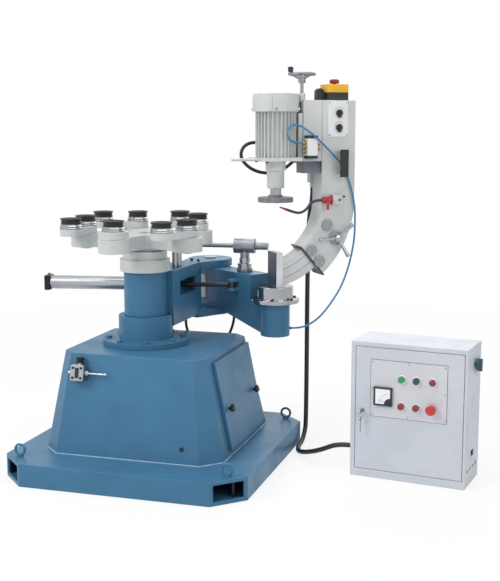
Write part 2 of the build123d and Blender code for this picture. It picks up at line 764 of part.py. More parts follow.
# ================================================================ air cylinder between the arms
bore_line = Plane(origin=trunnion, x_dir=(0, 0, 1), z_dir=turned(rod_direction) * -1)
with BuildPart() as block:
    with Locations(bore_line):
        Box(cylinder_block, cylinder_block, cylinder_block_length)
        Cylinder(rod_radius + rod_hole_play, 2 * cylinder_block_length, mode=Mode.SUBTRACT)
    for mode_axis in (1, -1):
        trunnion_face = cylinder_z + mode_axis * cylinder_block / 2
        with Locations((trunnion.X, trunnion.Y, trunnion_face + mode_axis * trunnion_length / 2)):
            Cylinder(trunnion_radius, trunnion_length)
with BuildPart() as barrel:
    with Locations(bore_line.offset(cylinder_block_length / 2)):
        Cylinder(cylinder_radius, cylinder_length, align=low)
        Cylinder(cylinder_bore, cylinder_length, align=low, mode=Mode.SUBTRACT)
with BuildPart() as end_cap:
    with Locations(bore_line.offset(cylinder_block_length / 2 + cylinder_length)):
        Cylinder(cylinder_radius, cylinder_cap_length, align=low)
write(Compound(children=[block.part, barrel.part, end_cap.part]), "air_cylinder")

rod_line = Plane(origin=lug, x_dir=(0, 0, 1), z_dir=turned(rod_direction) * -1)
with BuildPart() as rod:
    with Locations(rod_line):
        Cylinder(rod_radius, rod_reach, align=low)
    with Locations(rod_line.offset(rod_reach)):
        Cylinder(piston_radius, piston_length, align=low)
    with Locations(lug):
        Cylinder(eye_radius, eye_height)
        Cylinder(lug_pin_radius + running, eye_height, mode=Mode.SUBTRACT)
write(rod.part, "piston_rod")

# ================================================================ second arm
side_plane = Plane(origin=elbow, x_dir=turned(elbow_link_direction), z_dir=turned(elbow_link_direction - 90))
link_top = ear_bottom - face_gap
link_bottom = lower_ear_bottom + ear_thickness + face_gap
boss_edge = boss_distance - 0.6 * boss_radius
with BuildPart() as link_body:
    with BuildSketch(side_plane):
        Polygon(
            (link_slope_start, link_bottom),
            (link_start, link_bottom),
            (link_start, link_top),
            (link_end, link_top),
            (link_end, boss_top),
            (boss_edge, boss_top),
            (boss_edge, link_low),
            align=None,
        )
    extrude(amount=link_half_width, both=True)
    with BuildSketch(side_plane):
        Polygon(
            (link_start + link_wall, 0),
            (link_start + link_wall, link_top - link_wall),
            (link_end - link_wall, link_top - link_wall),
            (link_end - link_wall, 0),
            align=None,
        )
    extrude(amount=link_half_width - link_wall, both=True, mode=Mode.SUBTRACT)
    with Locations((boss.X, boss.Y, boss_bottom)):
        Cylinder(boss_radius, boss_top - boss_bottom, align=low)
        Cylinder(swivel_shaft_radius + running, boss_top - boss_bottom, align=low, mode=Mode.SUBTRACT)
    for knuckle_bottom in (link_bottom, link_top - knuckle_height):
        with BuildSketch(link.offset(knuckle_bottom)):
            Circle(knuckle_radius)
            with Locations((link_start / 2 + link_wall / 2, 0)):
                Rectangle(link_start + link_wall, 2 * knuckle_radius)
            Circle(elbow_pin_radius + running, mode=Mode.SUBTRACT)
        extrude(amount=knuckle_height)
    for lug_bottom in (
        cylinder_z - eye_height / 2 - face_gap - lug_thickness,
        cylinder_z + eye_height / 2 + face_gap,
    ):
        with BuildSketch(link.offset(lug_bottom)):
            with Locations((lug_along, -lug_out)):
                Circle(eye_radius)
            with Locations((lug_along, -(lug_out + link_half_width) / 2)):
                Rectangle(2 * eye_radius, lug_out - link_half_width)
        extrude(amount=lug_thickness)
    with Locations(lug):
        Cylinder(lug_pin_radius, eye_height + 2 * face_gap + lug_thickness)
    with Locations(link.offset(link_top)):
        with Locations((clamp_post_distance, 0)):
            Cylinder(clamp_foot_pin_radius + running, clamp_foot_pin_length, align=high, mode=Mode.SUBTRACT)
    with Locations(boss_port.offset(0.8 * boss_radius)):
        Cylinder(1.5 * air_hose_radius, 0.2 * boss_radius + fitting_length / 2, align=low)
    inner_side = link_half_width - link_wall
    with BuildSketch(link.offset(clip_low)):
        with Locations((clip_along, (inner_side + clip_side - clip_width / 2) / 2)):
            Rectangle(clip_width, inner_side - clip_side + clip_width / 2)
    extrude(amount=clip_height)
write(link_body.part, "elbow_link")

# ================================================================ guide rod and its clamp
clamp_axis = link.from_local_coords((clamp_post_distance, 0, clamp_z))
rod_run = Plane(origin=clamp_axis, x_dir=(0, 0, 1), z_dir=turned(clamp_direction))
with BuildPart() as clamp:
    with Locations((clamp_axis.X, clamp_axis.Y, link_top)):
        Cylinder(clamp_foot_pin_radius, clamp_foot_pin_length - face_gap, align=high)
    with Locations((clamp_axis.X, clamp_axis.Y, link_top + face_gap)):
        Cylinder(clamp_foot_pin_radius, face_gap, align=high)
        Cylinder(clamp_foot_radius, clamp_foot_height, align=low)
        Cylinder(clamp_post_radius, clamp_z - link_top - face_gap, align=low)
    with Locations(rod_run):
        Cylinder(clamp_radius, clamp_length)
        Cylinder(guide_rod_radius + running, clamp_length, mode=Mode.SUBTRACT)
write(clamp.part, "rod_clamp")

with BuildPart() as guide_rod:
    with Locations(rod_run.offset(-screw_rod_start)):
        Cylinder(guide_rod_radius, guide_rod_right + screw_rod_start, align=low)
        Cylinder(screw_rod_radius, screw_rod_left - screw_rod_start, align=high)
write(guide_rod.part, "guide_rod")

# ================================================================ swivel post and curved rail
with BuildPart() as post:
    with Locations(Plane(origin=(boss.X, boss.Y, boss_bottom + 10))):
        Cylinder(swivel_shaft_radius, boss_top - boss_bottom, align=low)
    with Locations((boss.X, boss.Y, boss_top + face_gap)):
        Cylinder(swivel_flange_radius, swivel_flange_height, align=low)
        Cylinder(bearing_radius, bearing_top - boss_top - face_gap, align=low)
    with Locations(head.offset(bearing_top)):
        Box(pivot_plate_thickness, pivot_plate_width, pivot_plate_top - bearing_top, align=low)
write(post.part, "swivel_post")

with BuildPart() as rail:
    extrude(arc_sector(head_front(-rail_half), rail_inner, rail_outer, 5, rail_end_angle), amount=2 * rail_half)
    with BuildSketch(head):
        with Locations((pivot_plate_thickness / 2 - arc_wide, 0)):
            Rectangle(2 * arc_wide, 4 * rail_half)
    extrude(amount=2 * arc_z, mode=Mode.SUBTRACT)
write(rail.part, "arc_rail")

# ================================================================ curved casing and column
column_left = arc_u + casing_inner
column_right = arc_u + casing_outer
casing_wall_side = casing_half - rail_half - rail_play
with BuildPart() as casing:
    solid_arc = arc_sector(head_front(-casing_half), casing_inner, casing_outer, casing_start_angle, 90)
    extrude(solid_arc, amount=2 * casing_half)
    with BuildSketch(head_front(-casing_half)):
        with Locations(((column_left + column_right) / 2, (arc_z + column_top) / 2)):
            Rectangle(column_right - column_left, column_top - arc_z)
    extrude(amount=2 * casing_half)
    inner_half = casing_half - casing_wall_side
    for inner, outer, start, end in (
        (casing_inner + casing_wall, casing_outer - casing_wall, casing_start_angle - 5, 90),
        (rail_inner - rail_play, rail_outer + rail_play, 91, rail_room_angle),
    ):
        hollow_arc = arc_sector(head_front(-inner_half), inner, outer, start, end)
        extrude(hollow_arc, amount=2 * inner_half, mode=Mode.SUBTRACT)
    with BuildSketch(head_front(-inner_half)):
        with Locations(((column_left + column_right) / 2, (arc_z + column_top - column_wall) / 2)):
            Rectangle(column_right - column_left - 2 * column_wall, column_top - column_wall - arc_z)
    extrude(amount=2 * inner_half, mode=Mode.SUBTRACT)
    with BuildSketch(head_front(inner_half - face_gap)):
        with Locations((selector_u, selector_upper_z), (selector_u, selector_lower_z)):
            Circle(selector_stem + 1)
    extrude(amount=2 * casing_wall_side, mode=Mode.SUBTRACT)
    entry_depth = -entry_n + 1.2 * main_cable_radius + entry_lip - casing_half
    with BuildSketch(head.offset(entry_bottom + cable_gland_length)):
        with Locations((riser_u, casing_half + entry_depth / 2)):
            Rectangle(entry_box_width, entry_depth)
    extrude(amount=entry_box_height)
    with Locations(head_point(riser_u, entry_n, entry_bottom)):
        Cylinder(1.2 * main_cable_radius, cable_gland_length, align=low)
write(casing.part, "arc_casing")

with BuildPart() as caps:
    with BuildSketch(head_front(casing_half)):
        with Locations(*[on_arc(radius, angle) for radius, angle in roller_places]):
            Circle(roller_radius)
    extrude(amount=roller_height)
    with BuildSketch(head_front(casing_half)):
        with Locations(on_arc(lock_radius_place, lock_angle)):
            Circle(lock_boss_radius)
            Circle(lock_stem_radius + running, mode=Mode.SUBTRACT)
    extrude(amount=lock_boss_height)
write(caps.part, "roller_caps")

lock_u, lock_z = on_arc(lock_radius_place, lock_angle)
lock_plane = head_front(casing_half + lock_boss_height + face_gap)
with BuildPart() as lock:
    with BuildSketch(lock_plane):
        with Locations((lock_u, lock_z)):
            Circle(lock_hub_radius)
    extrude(amount=lock_hub_length)
    with BuildSketch(lock_plane):
        with Locations((lock_u, lock_z)):
            Circle(lock_stem_radius)
    extrude(amount=-lock_boss_height)
    spoke_root = Plane(
        origin=lock_plane.from_local_coords((lock_u, lock_z, lock_hub_length / 2)),
        x_dir=lock_plane.x_dir,
        z_dir=lock_plane.z_dir,
    )
    for turn in lock_spoke_turns:
        across = spoke_root.x_dir * math.cos(math.radians(turn))
        rise = spoke_root.y_dir * math.sin(math.radians(turn))
        spoke = Plane(origin=spoke_root.origin, z_dir=across + rise)
        with Locations(spoke):
            Cylinder(lock_spoke_radius, lock_spoke_length, align=low)
        with Locations(spoke.offset(lock_spoke_length)):
            Sphere(lock_ball_radius)
write(lock.part, "lock_handle")

# ================================================================ slide box on the column
slide_top = column_top
with BuildPart() as slide_box:
    with BuildSketch(head.offset(slide_bottom)):
        with Locations(((slide_left + column_left) / 2, 0)):
            Rectangle(column_left - slide_left, 2 * slide_half)
    extrude(amount=slide_top - slide_bottom)
    with BuildSketch(head.offset(support_bottom)):
        with Locations(((support_left + column_left) / 2, 0)):
            Rectangle(column_left - support_left, 2 * support_half)
    extrude(amount=slide_bottom - support_bottom)
    with BuildSketch(head.offset(slide_bottom + slide_floor)):
        with Locations((slide_left + slot_depth / 2, 0)):
            Rectangle(slot_depth, 2 * slot_half)
    extrude(amount=slide_top - slide_bottom - slide_floor - slide_roof, mode=Mode.SUBTRACT)
    with Locations(head_point(screw_u, 0, slide_top)):
        Cylinder(nose_radius, nose_height, align=low)
    with Locations(head_point(screw_u, 0, slide_bottom + slide_floor / 2)):
        Cylinder(
            screw_radius + running,
            slide_top + nose_height - slide_bottom,
            align=low,
            mode=Mode.SUBTRACT,
        )
    motor_entry_depth = -motor_entry_n + 1.3 * motor_cable_radius - slide_half
    with BuildSketch(head.offset(motor_entry_bottom)):
        with Locations((motor_entry_u, slide_half + motor_entry_depth / 2)):
            Rectangle(motor_entry_width, motor_entry_depth)
    extrude(amount=motor_entry_height)
write(slide_box.part, "slide_box")

# ================================================================ handwheel with its feed screw
screw_bottom = slide_bottom + slide_floor / 2 + face_gap
with BuildPart() as handwheel:
    with Locations(head_point(screw_u, 0, screw_bottom)):
        Cylinder(screw_radius, wheel_hub_bottom - screw_bottom, align=low)
    with Locations(head_point(screw_u, 0, wheel_hub_bottom)):
        Cylinder(wheel_hub_radius, wheel_hub_top - wheel_hub_bottom, align=low)
    with BuildSketch(head_front(0)):
        with Locations((screw_u + wheel_rim_radius, wheel_rim_z)):
            RectangleRounded(2 * wheel_rim_wire, 1.8 * wheel_rim_wire, 0.8 * wheel_rim_wire)
    revolve(axis=Axis(head_point(screw_u, 0, 0), (0, 0, 1)))
    hub_middle = (wheel_hub_bottom + wheel_hub_top) / 2
    for turn in (head_direction + 60, head_direction + 180, head_direction + 300):
        spoke_start = head_point(screw_u, 0, hub_middle)
        spoke_end = Vector(*head_point(screw_u, 0, wheel_rim_z)) + turned(turn) * wheel_rim_radius
        spoke_run = spoke_end - spoke_start
        with Locations(Plane(origin=spoke_start, z_dir=spoke_run)):
            Cylinder(wheel_spoke_radius, spoke_run.length, align=low)
    with Locations(head_point(screw_u - wheel_rim_radius, 0, wheel_rim_z)):
        Cylinder(crank_radius, wheel_rim_wire + crank_length, align=low)
write(handwheel.part, "handwheel")

# ================================================================ motor slide
slide_face = slide_left - face_gap
with BuildPart() as motor_slide:
    with BuildSketch(head.offset(dovetail_low)):
        with Locations(((dovetail_left + slide_face) / 2, 0)):
            Rectangle(slide_face - dovetail_left, 2 * dovetail_half)
    extrude(amount=dovetail_top - dovetail_drop - dovetail_low)
    with BuildSketch(head.offset(motor_plate_bottom)):
        with Locations(((motor_plate_right - motor_plate_half) / 2, 0)):
            RectangleRounded(motor_plate_right + motor_plate_half, 2 * motor_plate_half, 8)
        with Locations((slide_face / 2, 0)):
            Rectangle(slide_face, 2 * plate_tongue_half)
        Circle(spindle_radius + 2, mode=Mode.SUBTRACT)
    extrude(amount=dovetail_low - motor_plate_bottom)
    nut_right = screw_u + screw_radius + 2
    with BuildSketch(head.offset(nut_low)):
        with Locations(((dovetail_left + nut_right) / 2, 0)):
            Rectangle(nut_right - dovetail_left, 2 * nut_half)
        with Locations((screw_u, 0)):
            Circle(screw_radius + thread_play, mode=Mode.SUBTRACT)
    extrude(amount=nut_top - nut_low)
    stay_plane = Plane(
        origin=head_point(-motor_plate_half, stay_rod_n, (motor_plate_bottom + dovetail_low) / 2),
        z_dir=turned(head_direction + 180),
    )
    with Locations(stay_plane):
        Cylinder(stay_rod_radius, stay_rod_length, align=low)
write(motor_slide.part, "motor_slide")

with BuildPart() as motor:
    with Locations(head.offset(dovetail_low)):
        Cylinder(motor_core_radius, dovetail_top - dovetail_low, align=low)
    with BuildSketch(head.offset(dovetail_low)):
        with PolarLocations((fin_radius + motor_core_radius) / 2, fin_count):
            Rectangle(fin_radius - motor_core_radius + 2, fin_thickness)
    extrude(amount=dovetail_top - dovetail_low)
    with Locations(head.offset(dovetail_top)):
        Cylinder(cowl_radius, cowl_top - dovetail_top, align=low)
    with BuildSketch(head.offset(dovetail_low)):
        with Locations((0, fin_radius)):
            RectangleRounded(terminal_width, terminal_depth, 6)
    extrude(amount=terminal_height)
    with Locations(head.offset(dovetail_low)):
        Cylinder(
            spindle_radius + running,
            spindle_top + face_gap - dovetail_low,
            align=low,
            mode=Mode.SUBTRACT,
        )
    motor_gland = Plane(
        origin=head_point(terminal_left, motor_gland_n, motor_gland_z),
        z_dir=turned(head_direction + 180),
    )
    with Locations(motor_gland):
        Cylinder(1.3 * motor_cable_radius, motor_gland_length, align=low)
write(motor.part, "motor_body")

with BuildPart() as nose:
    with Locations(head.offset(nose_housing_bottom)):
        Cylinder(nose_housing_radius, neck_bottom - nose_housing_bottom, align=low)
    with Locations(head.offset(neck_bottom)):
        Cylinder(neck_radius, motor_plate_bottom - neck_bottom, align=low)
    with Locations(head.offset(nose_housing_bottom)):
        Cylinder(
            spindle_radius + running,
            motor_plate_bottom - nose_housing_bottom,
            align=low,
            mode=Mode.SUBTRACT,
        )
write(nose.part, "spindle_housing")

grinding_top = grinding_wheel_bottom + grinding_wheel_height
with BuildPart() as spindle:
    with Locations(head.offset(grinding_wheel_bottom + wheel_recess_depth)):
        Cylinder(spindle_radius, spindle_top - grinding_wheel_bottom - wheel_recess_depth, align=low)
    with Locations(head.offset(grinding_top + wheel_seat_height)):
        Cylinder(
            collet_radius,
            nose_housing_bottom - face_gap - grinding_top - wheel_seat_height,
            align=low,
        )
    with BuildSketch(head.offset(grinding_wheel_bottom + wheel_recess_depth - 2)):
        RegularPolygon(spindle_radius + 5, 6)
    extrude(amount=2)
write(spindle.part, "spindle_shaft")

with BuildPart() as wheel:
    with Locations(head.offset(grinding_wheel_bottom)):
        Cylinder(grinding_wheel_radius, grinding_wheel_height, align=low)
        Cylinder(wheel_recess_radius, wheel_recess_depth, align=low, mode=Mode.SUBTRACT)
    with Locations(head.offset(grinding_top)):
        Cylinder(wheel_seat_radius, wheel_seat_height, align=low)
    with Locations(head.offset(grinding_wheel_bottom)):
        Cylinder(
            spindle_radius,
            grinding_wheel_height + wheel_seat_height,
            align=low,
            mode=Mode.SUBTRACT,
        )
write(wheel.part, "grinding_wheel")

# ================================================================ controls on the head
estop_middle = (estop_left + estop_right) / 2
estop_top = column_top + estop_base_height + estop_box_height
with BuildPart() as controls:
    with BuildSketch(head.offset(column_top)):
        with Locations((estop_middle, 0)):
            RectangleRounded(estop_right - estop_left, 2 * estop_half, 5)
    extrude(amount=estop_top - column_top)
    with BuildSketch(head_front(-gland_half)):
        gland_middle = (gland_left + gland_right) / 2
        with Locations((gland_middle, column_top + estop_base_height / 2)):
            Rectangle(gland_right - gland_left, estop_base_height)
        with Locations((gland_middle, column_top + estop_base_height)):
            Circle((gland_right - gland_left) / 2)
    extrude(amount=2 * gland_half)
    with Locations(head_point(estop_middle, 0, estop_top)):
        Cylinder(
            estop_stem_radius + running,
            estop_box_height / 2,
            align=high,
            mode=Mode.SUBTRACT,
        )
with BuildPart() as selector_plate:
    with BuildSketch(head_front(casing_half)):
        with Locations(((panel_left + panel_right) / 2, (panel_low + panel_top) / 2)):
            RectangleRounded(panel_right - panel_left, panel_top - panel_low, 4)
        with Locations((selector_u, selector_upper_z), (selector_u, selector_lower_z)):
            Circle(selector_stem + running, mode=Mode.SUBTRACT)
    extrude(amount=panel_thickness)
write(Compound(children=[controls.part, selector_plate.part]), "head_controls")

for selector_z, name in ((selector_upper_z, "selector_upper"), (selector_lower_z, "selector_lower")):
    with BuildPart() as selector:
        with BuildSketch(head_front(casing_half + panel_thickness + face_gap)):
            with Locations((selector_u, selector_z)):
                Circle(selector_radius)
        extrude(amount=selector_height / 2)
        with BuildSketch(head_front(casing_half + panel_thickness + face_gap)):
            with Locations((selector_u, selector_z - selector_radius / 4)):
                Rectangle(selector_radius / 2, 2.2 * selector_radius)
        extrude(amount=selector_height)
        with BuildSketch(head_front(inner_half + 1)):
            with Locations((selector_u, selector_z)):
                Circle(selector_stem)
        extrude(amount=casing_wall_side + panel_thickness)
    write(selector.part, name)

with BuildPart() as estop:
    with Locations(head_point(estop_middle, 0, estop_top + estop_rise)):
        Cylinder(estop_head_radius, estop_head_height, align=low)
        Cylinder(estop_stem_radius, estop_rise + estop_box_height / 4, align=high)
    fillet(estop.faces().sort_by(Axis.Z)[-1].edges(), radius=estop_head_height / 3)
write(estop.part, "estop_button")

# ================================================================ solenoid valve, grip and water tap
valve_face = slide_half
with BuildPart() as solenoid:
    with BuildSketch(head_front(valve_face)):
        with Locations((valve_block_u, valve_block_z)):
            Rectangle(valve_block_width, valve_block_height + 2 * valve_end_height)
    extrude(amount=valve_block_depth)
    block_left = Plane(
        origin=head_point(
            valve_block_u - valve_block_width / 2,
            valve_face + valve_block_depth / 2,
            valve_block_z,
        ),
        x_dir=(0, 0, 1),
        z_dir=turned(head_direction + 180),
    )
    with Locations(block_left):
        with Locations((-valve_block_height / 4, 0), (valve_block_height / 4, 0)):
            Cylinder(fitting_radius, fitting_length, align=low)
    block_right = Plane(
        origin=head_point(
            valve_block_u + valve_block_width / 2,
            valve_face + valve_block_depth / 2,
            valve_block_z,
        ),
        x_dir=(0, 0, 1),
        z_dir=turned(head_direction),
    )
    with Locations(block_right):
        Cylinder(fitting_radius, fitting_length, align=low)
write(solenoid.part, "solenoid_valve")

grip_n = casing_half + grip_stand
with BuildPart() as grip:
    with Locations(head_point(grip_u, grip_n, grip_low)):
        Cylinder(grip_radius, grip_top - grip_low, align=low)
    for arm_bottom in (grip_low, grip_top - grip_arm):
        with BuildSketch(head.offset(arm_bottom)):
            with Locations((grip_u, -(casing_half + grip_n) / 2)):
                Rectangle(1.4 * grip_radius, grip_stand)
        extrude(amount=grip_arm)
write(grip.part, "handle_grip")

tap_n = casing_half + bracket_depth / 2
tap_z = (bracket_low + bracket_top) / 2
with BuildPart() as tap:
    with BuildSketch(head_front(casing_half)):
        with Locations(((bracket_left + bracket_right) / 2, tap_z)):
            Rectangle(bracket_right - bracket_left, bracket_top - bracket_low)
    extrude(amount=bracket_depth)
    tap_line = Plane(
        origin=head_point(bracket_left, tap_n + tap_forward, tap_z),
        x_dir=(0, 0, 1),
        z_dir=turned(head_direction + 180),
    )
    with Locations(tap_line.offset(-bracket_depth)):
        Cylinder(tap_radius, bracket_left - tap_left + bracket_depth, align=low)
    tap_stem = head_front(tap_n + tap_forward + tap_radius)
    with BuildSketch(tap_stem):
        with Locations((tap_stem_u, tap_z)):
            Circle(tap_stem_radius + running)
    extrude(amount=-tap_radius, mode=Mode.SUBTRACT)
pipe_points = [
    (tap_left, tap_n + tap_forward, tap_z),
    (136, tap_n + tap_forward, tap_z),
    (115, 60, 1034),
    (92, 50, 1018),
    (62, 38, 1022),
    (16, 22, 1041),
]
pipe = tube("coolant pipe", [head_point(*point) for point in pipe_points], coolant_pipe_radius)
write(Compound(children=[tap.part, pipe.part]), "water_tap")

with BuildPart() as tap_lever:
    with BuildSketch(tap_stem.offset(face_gap)):
        with Locations((tap_stem_u, tap_z - tap_lever_length / 2 + tap_lever_width / 2)):
            RectangleRounded(tap_lever_width, tap_lever_length, tap_lever_width / 2 - 0.5)
    extrude(amount=tap_lever_thickness)
    with BuildSketch(tap_stem.offset(face_gap)):
        with Locations((tap_stem_u, tap_z)):
            Circle(tap_stem_radius)
    extrude(amount=-tap_radius * 0.9)
write(tap_lever.part, "tap_lever")

# ================================================================ cabinet
cable_wall = Plane(
    origin=cabinet.from_local_coords((0, cable_entry_y, cable_entry_z)),
    x_dir=(0, 0, 1),
    z_dir=turned(cabinet_turn + 180),
)
cabinet_middle = cabinet_width / 2
door_middle_x = (door_left + door_right) / 2
door_middle_z = (door_low + door_top) / 2
with BuildPart() as shell:
    with BuildSketch(cabinet):
        with Locations((cabinet_middle, cabinet_depth / 2)):
            Rectangle(cabinet_width, cabinet_depth)
    extrude(amount=cabinet_height)
    with BuildSketch(cabinet_front(cabinet_depth - cabinet_wall)):
        with Locations((cabinet_middle, cabinet_height / 2)):
            Rectangle(cabinet_width - 2 * cabinet_wall, cabinet_height - 2 * cabinet_wall)
    extrude(amount=cabinet_depth - 2 * cabinet_wall, mode=Mode.SUBTRACT)
    with BuildSketch(cabinet_front(cabinet_wall)):
        with Locations((door_middle_x, door_middle_z)):
            Rectangle(door_right - door_left, door_top - door_low)
    extrude(amount=cabinet_wall, mode=Mode.SUBTRACT)
    # Door frame behind the opening, which carries the hinge pins and stops the door.
    frame_depth = door_thickness + door_back_play
    for back, ahead, stop in (
        (frame_depth, frame_depth, 0),
        (frame_depth + cabinet_wall, cabinet_wall, door_stop),
    ):
        with BuildSketch(cabinet_front(back)):
            with Locations((door_middle_x, door_middle_z)):
                Rectangle(
                    door_right - door_left + 2 * cabinet_wall,
                    door_top - door_low + 2 * cabinet_wall,
                )
                Rectangle(
                    door_right - door_left - 2 * stop,
                    door_top - door_low - 2 * stop,
                    mode=Mode.SUBTRACT,
                )
        extrude(amount=ahead)
    side_wall = Plane(
        origin=cabinet.from_local_coords((cabinet_width, 0, 0)),
        x_dir=turned(cabinet_turn + 90),
        z_dir=turned(cabinet_turn),
    )
    with BuildSketch(side_wall):
        with Locations((isolator_y, isolator_z)):
            Circle(isolator_stem + running)
        vent_span = (vent_count - 1) * vent_spacing
        for index in range(vent_count):
            with Locations((vent_y - vent_span / 2 + index * vent_spacing, vent_z)):
                RectangleRounded(vent_width, vent_height, 2)
        with Locations((inlet_y, inlet_z)):
            RectangleRounded(inlet_width, inlet_height, 2)
    extrude(amount=-cabinet_wall, mode=Mode.SUBTRACT)
    hinge_x = door_right - hinge_inset
    for pin_end in (door_low + hinge_pin_length, door_top):
        with BuildSketch(cabinet.offset(pin_end)):
            with Locations((hinge_x, hinge_depth)):
                Circle(hinge_pin_radius)
        extrude(amount=-hinge_pin_length)
    with Locations(cable_wall):
        Cylinder(cable_gland_radius, cable_gland_length, align=low)
with BuildPart() as isolator_plate:
    with BuildSketch(side_wall):
        with Locations((isolator_y, isolator_z)):
            RectangleRounded(isolator_plate_width, isolator_plate_height, 6)
            Circle(isolator_stem + running, mode=Mode.SUBTRACT)
    extrude(amount=isolator_plate_thickness)
write(Compound(children=[shell.part, isolator_plate.part]), "cabinet_shell")

# ================================================================ cabinet door and its instruments
door_width = door_right - door_left - 2 * door_play
door_height = door_top - door_low - 2 * door_play
button_places = [(column, row) for column in button_columns.values() for row in button_rows.values()]
with BuildPart() as door:
    with BuildSketch(cabinet_front(door_thickness)):
        with Locations((door_middle_x, door_middle_z)):
            Rectangle(door_width, door_height)
    extrude(amount=door_thickness)
    with BuildSketch(cabinet_front(door_thickness)):
        with Locations((door_middle_x, door_middle_z)):
            Rectangle(door_width - 2 * door_sheet, door_height - 2 * door_sheet)
    extrude(amount=door_thickness - door_sheet, mode=Mode.SUBTRACT)
    for block_top in (door_top - door_play, door_low + door_play + hinge_block_height):
        with BuildSketch(cabinet.offset(block_top)):
            with Locations((door_right - door_play - hinge_block / 2, hinge_block / 2)):
                Rectangle(hinge_block, hinge_block)
        extrude(amount=-hinge_block_height)
        with BuildSketch(cabinet.offset(block_top)):
            with Locations((hinge_x, hinge_depth)):
                Circle(hinge_pin_radius + running)
        extrude(amount=-hinge_block_height, mode=Mode.SUBTRACT)
    with BuildSketch(cabinet_front(0)):
        with Locations((key_x, key_z)):
            Circle(key_ring_radius)
    extrude(amount=key_ring_height)
    with BuildSketch(cabinet_front(door_sheet)):
        with Locations(*button_places, (cabinet_estop_x, cabinet_estop_z)):
            Circle(button_stem_radius + running)
        with Locations((key_x, key_z)):
            Circle(key_radius + running)
    extrude(amount=door_sheet + key_ring_height, mode=Mode.SUBTRACT)
with BuildPart() as plate:
    with BuildSketch(cabinet_front(0)):
        with Locations(((plate_left + plate_right) / 2, (plate_low + plate_top) / 2)):
            Rectangle(plate_right - plate_left, plate_top - plate_low)
        with Locations(*button_places, (cabinet_estop_x, cabinet_estop_z)):
            Circle(button_stem_radius + running, mode=Mode.SUBTRACT)
    extrude(amount=plate_thickness)
    with BuildSketch(cabinet_front(-plate_thickness)):
        with Locations(((plate_left + plate_right) / 2, (plate_low + plate_top) / 2)):
            with GridLocations(
                (plate_right - plate_left) / 2 - plate_screw_inset,
                plate_top - plate_low - 2 * plate_screw_inset,
                3,
                2,
            ):
                Circle(plate_screw_radius)
    extrude(amount=plate_screw_radius / 2)
    with BuildSketch(cabinet_front(-plate_thickness)):
        with Locations(*button_places, (lamp_x, lamp_z)):
            Circle(button_ring_radius)
            Circle(button_radius + button_ring_play, mode=Mode.SUBTRACT)
    extrude(amount=button_ring_height)
with BuildPart() as meter:
    with BuildSketch(cabinet_front(-plate_thickness)):
        with Locations((meter_x, meter_z)):
            Rectangle(meter_width, meter_height)
    extrude(amount=meter_depth)
    chamfer(meter.faces().sort_by(Axis(cabinet.origin, turned(cabinet_turn - 90)))[-1].edges(), length=2)
with BuildPart() as lamp:
    with BuildSketch(cabinet_front(-plate_thickness)):
        with Locations((lamp_x, lamp_z)):
            Circle(button_radius)
    extrude(amount=button_rise + button_height)
write(Compound(children=[door.part, plate.part, meter.part, lamp.part]), "cabinet_door")

cap_back = -plate_thickness - button_rise
stem_length = button_rise + plate_thickness + door_sheet + button_reach
for side, column in button_columns.items():
    for height, row in button_rows.items():
        with BuildPart() as button:
            with BuildSketch(cabinet_front(cap_back)):
                with Locations((column, row)):
                    Circle(button_radius)
            extrude(amount=button_height)
            with BuildSketch(cabinet_front(cap_back)):
                with Locations((column, row)):
                    Circle(button_stem_radius)
            extrude(amount=-stem_length)
        write(button.part, f"button_{height}_{side}")

with BuildPart() as panel_estop:
    mushroom = Plane(
        origin=cabinet_front(cap_back).from_local_coords((cabinet_estop_x, cabinet_estop_z, 0)),
        z_dir=turned(cabinet_turn - 90),
    )
    with Locations(mushroom):
        Cylinder(button_stem_radius, stem_length, align=high)
        Cylinder(0.75 * cabinet_estop_radius, button_height, align=low)
    with Locations(mushroom.offset(button_height)):
        Cone(0.75 * cabinet_estop_radius, cabinet_estop_radius, button_height, align=low)
    with Locations(mushroom.offset(2 * button_height)):
        Cylinder(cabinet_estop_radius, button_height, align=low)
write(panel_estop.part, "cabinet_estop")

key_face = -key_ring_height - face_gap
bow_depth = key_face - key_reach - key_bow_radius
with BuildPart() as key:
    with BuildSketch(cabinet_front(key_face)):
        with Locations((key_x, key_z)):
            Circle(key_radius)
    extrude(amount=-key_ring_height - door_sheet - 2 * face_gap)
    with BuildSketch(cabinet_front(key_face)):
        with Locations((key_x, key_z)):
            Rectangle(key_thickness, spare_key_width)
    extrude(amount=key_reach + key_bow_radius)
    ring_z = key_z - key_bow_radius - key_ring_radius / 2
    spare_z = ring_z - key_ring_radius - key_bow_radius / 2
    for bow_z in (key_z, spare_z):
        bow = Plane(
            origin=cabinet.from_local_coords((key_x, bow_depth, bow_z)),
            x_dir=(0, 0, 1),
            z_dir=turned(cabinet_turn),
        )
        with Locations(bow):
            Cylinder(key_bow_radius, key_thickness)
    ring = Plane(
        origin=cabinet.from_local_coords((key_x, bow_depth, ring_z)),
        x_dir=turned(cabinet_turn),
        z_dir=turned(cabinet_turn - 90),
    )
    with Locations(ring):
        Torus(key_ring_radius, key_thickness / 2)
    with Locations(bow.offset(-key_thickness / 2)):
        Box(spare_key_length + key_bow_radius, spare_key_width, key_thickness, align=(Align.MAX, Align.CENTER, Align.MIN))
write(key.part, "key_lock")

